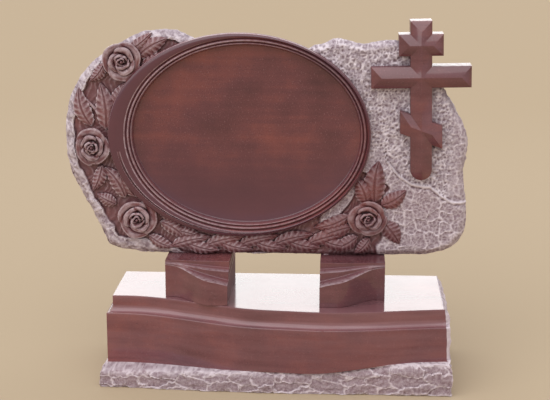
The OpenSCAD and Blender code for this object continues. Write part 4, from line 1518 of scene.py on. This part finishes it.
def finish_base(obj):
    """Stores the base's edges, its dust value, which is also painted reflection and a painted highlight, and its
    seams:
    the seams run between the foot's flakes, with finer ones between, and crumbs are noise that fades in towards the
    foot's upper edge."""
    x, y, z = coordinates(obj).T
    set_value(obj, "edge", edge_values(obj))
    set_value(obj, "bare", np.full(len(x), FOOT_BARE))
    cove_low, cove_high = BASE_H - TIER_H - COVE_H, BASE_H - TIER_H
    in_cove = ease((z - cove_low) / (3 * MM)) * ease((cove_high + 4 * MM - z) / (4 * MM))
    # paler front and tier: dust and painted reflection; paler cove: dust and a painted highlight
    set_value(obj, "dust_and_painted_light", FRONT_DUST_AND_REFLECTION + TIER_DUST_AND_REFLECTION * (z > cove_high) + COVE_DUST_AND_HIGHLIGHT * in_cove)
    line, level = foot_flakes(x, y, z)
    strength = 0.9 + 0.4 * noise(x, y, z, 0.02, 79)
    near_top = ease((z - foot_line((x - BASE_LEFT) / BASE_W) + 17 * MM) / (12 * MM))
    crumbs = ease(0.5 + 1.6 * noise(x, y, z, 0.006, 80)) * near_top
    fine = seams(line, level, 0.0125, 0.0022, 77)
    seam = strength * seams(line, level, FLAKE, SEAM_W, 75) + 0.20 * fine + 0.6 * crumbs
    set_value(obj, "seam", np.clip(seam, 0, 1))
    shade(obj, BASE_CREASE)


base = granite_base()
keep_within(base, base_low, base_high)
finish_base(base)
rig.replaces(base, "base")
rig.ride(base, "root")
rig.slot(base, "polished_granite")
print("base:", triangles(base), "triangles, volume", round(enclosed(base.data), 4))

# %% [markdown]
# ## Floor and light
# A wide sand-coloured floor fills the view. A clouded sky lights stone softly: here an even world and a
# broad sun give it. A large pale card behind and above the stone is what the polished tops mirror. A
# painted sky could do all of that, but a few lamps are easier to turn and to dim one by one.

# %% Floor
SAND = (0.480, 0.380, 0.262)
FLOOR_HALF = 30.0


def sand_floor():
    """A wide plain floor."""
    corners = [(x * FLOOR_HALF, y * FLOOR_HALF, 0) for x, y in ((-1, -1), (1, -1), (1, 1), (-1, 1))]
    mesh = bpy.data.meshes.new("floor")
    mesh.from_pydata(corners, [], [(0, 1, 2, 3)])
    mat, shader, _, _ = new_material("floor sand")
    shader.inputs["Base Color"].default_value = (*SAND, 1.0)
    shader.inputs["Roughness"].default_value = 0.9
    shader.inputs["Specular IOR Level"].default_value = 0.1
    mesh.materials.append(mat)
    obj = bpy.data.objects.new("floor", mesh)
    bpy.context.scene.collection.objects.link(obj)
    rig.stage(obj)


sand_floor()
print("floor", 2 * FLOOR_HALF, "m wide")

# %% World and lamps
# colour of the world level with the stone, and near the top of the sky
LEVEL_LIGHT, TOP_LIGHT = (0.0, (0.55, 0.51, 0.47)), (0.9, (1.05, 1.04, 1.05))
SUN_TURN, SUN_POWER, SUN_BREADTH = (44, 0, -30), 1.35, 80
CARD_AT, CARD_TURN, CARD_POWER = (0.3, 4.2, 2.6), (-72, 0, 0), 255.0
CARD_WIDE, CARD_HIGH = 9.0, 3.0


def soft_world():
    """A pale world whose colour goes from warm and dim at the horizon to white above."""
    world = bpy.data.worlds.new("world")
    bpy.context.scene.world = world
    world.use_nodes = True
    tree = world.node_tree
    way = tree.nodes.new("ShaderNodeTexCoord")
    split = tree.nodes.new("ShaderNodeSeparateXYZ")
    tree.links.new(way.outputs["Generated"], split.inputs[0])
    sky = tree.nodes.new("ShaderNodeValToRGB")
    for element, (at, colour) in zip(sky.color_ramp.elements, (LEVEL_LIGHT, TOP_LIGHT)):
        element.position = at
        element.color = (*colour, 1.0)
    tree.links.new(split.outputs["Z"], sky.inputs[0])
    tree.links.new(sky.outputs["Color"], tree.nodes["Background"].inputs["Color"])


def lamp(name, kind, at, turn, energy, **settings):
    """A lamp with its place, its turn in degrees and its energy."""
    data = bpy.data.lights.new(name, kind)
    data.energy = energy
    for key, value in settings.items():
        setattr(data, key, value)
    obj = bpy.data.objects.new(name, data)
    obj.location = at
    obj.rotation_euler = [math.radians(a) for a in turn]
    bpy.context.scene.collection.objects.link(obj)
    return obj


soft_world()
lamp("sky", "SUN", (0, 0, 5), SUN_TURN, SUN_POWER, angle=math.radians(SUN_BREADTH))
card = lamp("card", "AREA", CARD_AT, CARD_TURN, CARD_POWER, shape="RECTANGLE",
            size=CARD_WIDE, size_y=CARD_HIGH)
card.visible_camera = card.visible_diffuse = False
bpy.context.scene.view_settings.view_transform = "Standard"
print("lamps:", [obj.name for obj in bpy.context.scene.objects if obj.type == "LIGHT"])

# %% Sizes, and the end
with open("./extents.json", "w") as out:
    json.dump({"cad": [list(map(float, v)) for v in cad_box], "visual": [list(map(float, v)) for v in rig.bounds()]}, out)
print(open("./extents.json").read())
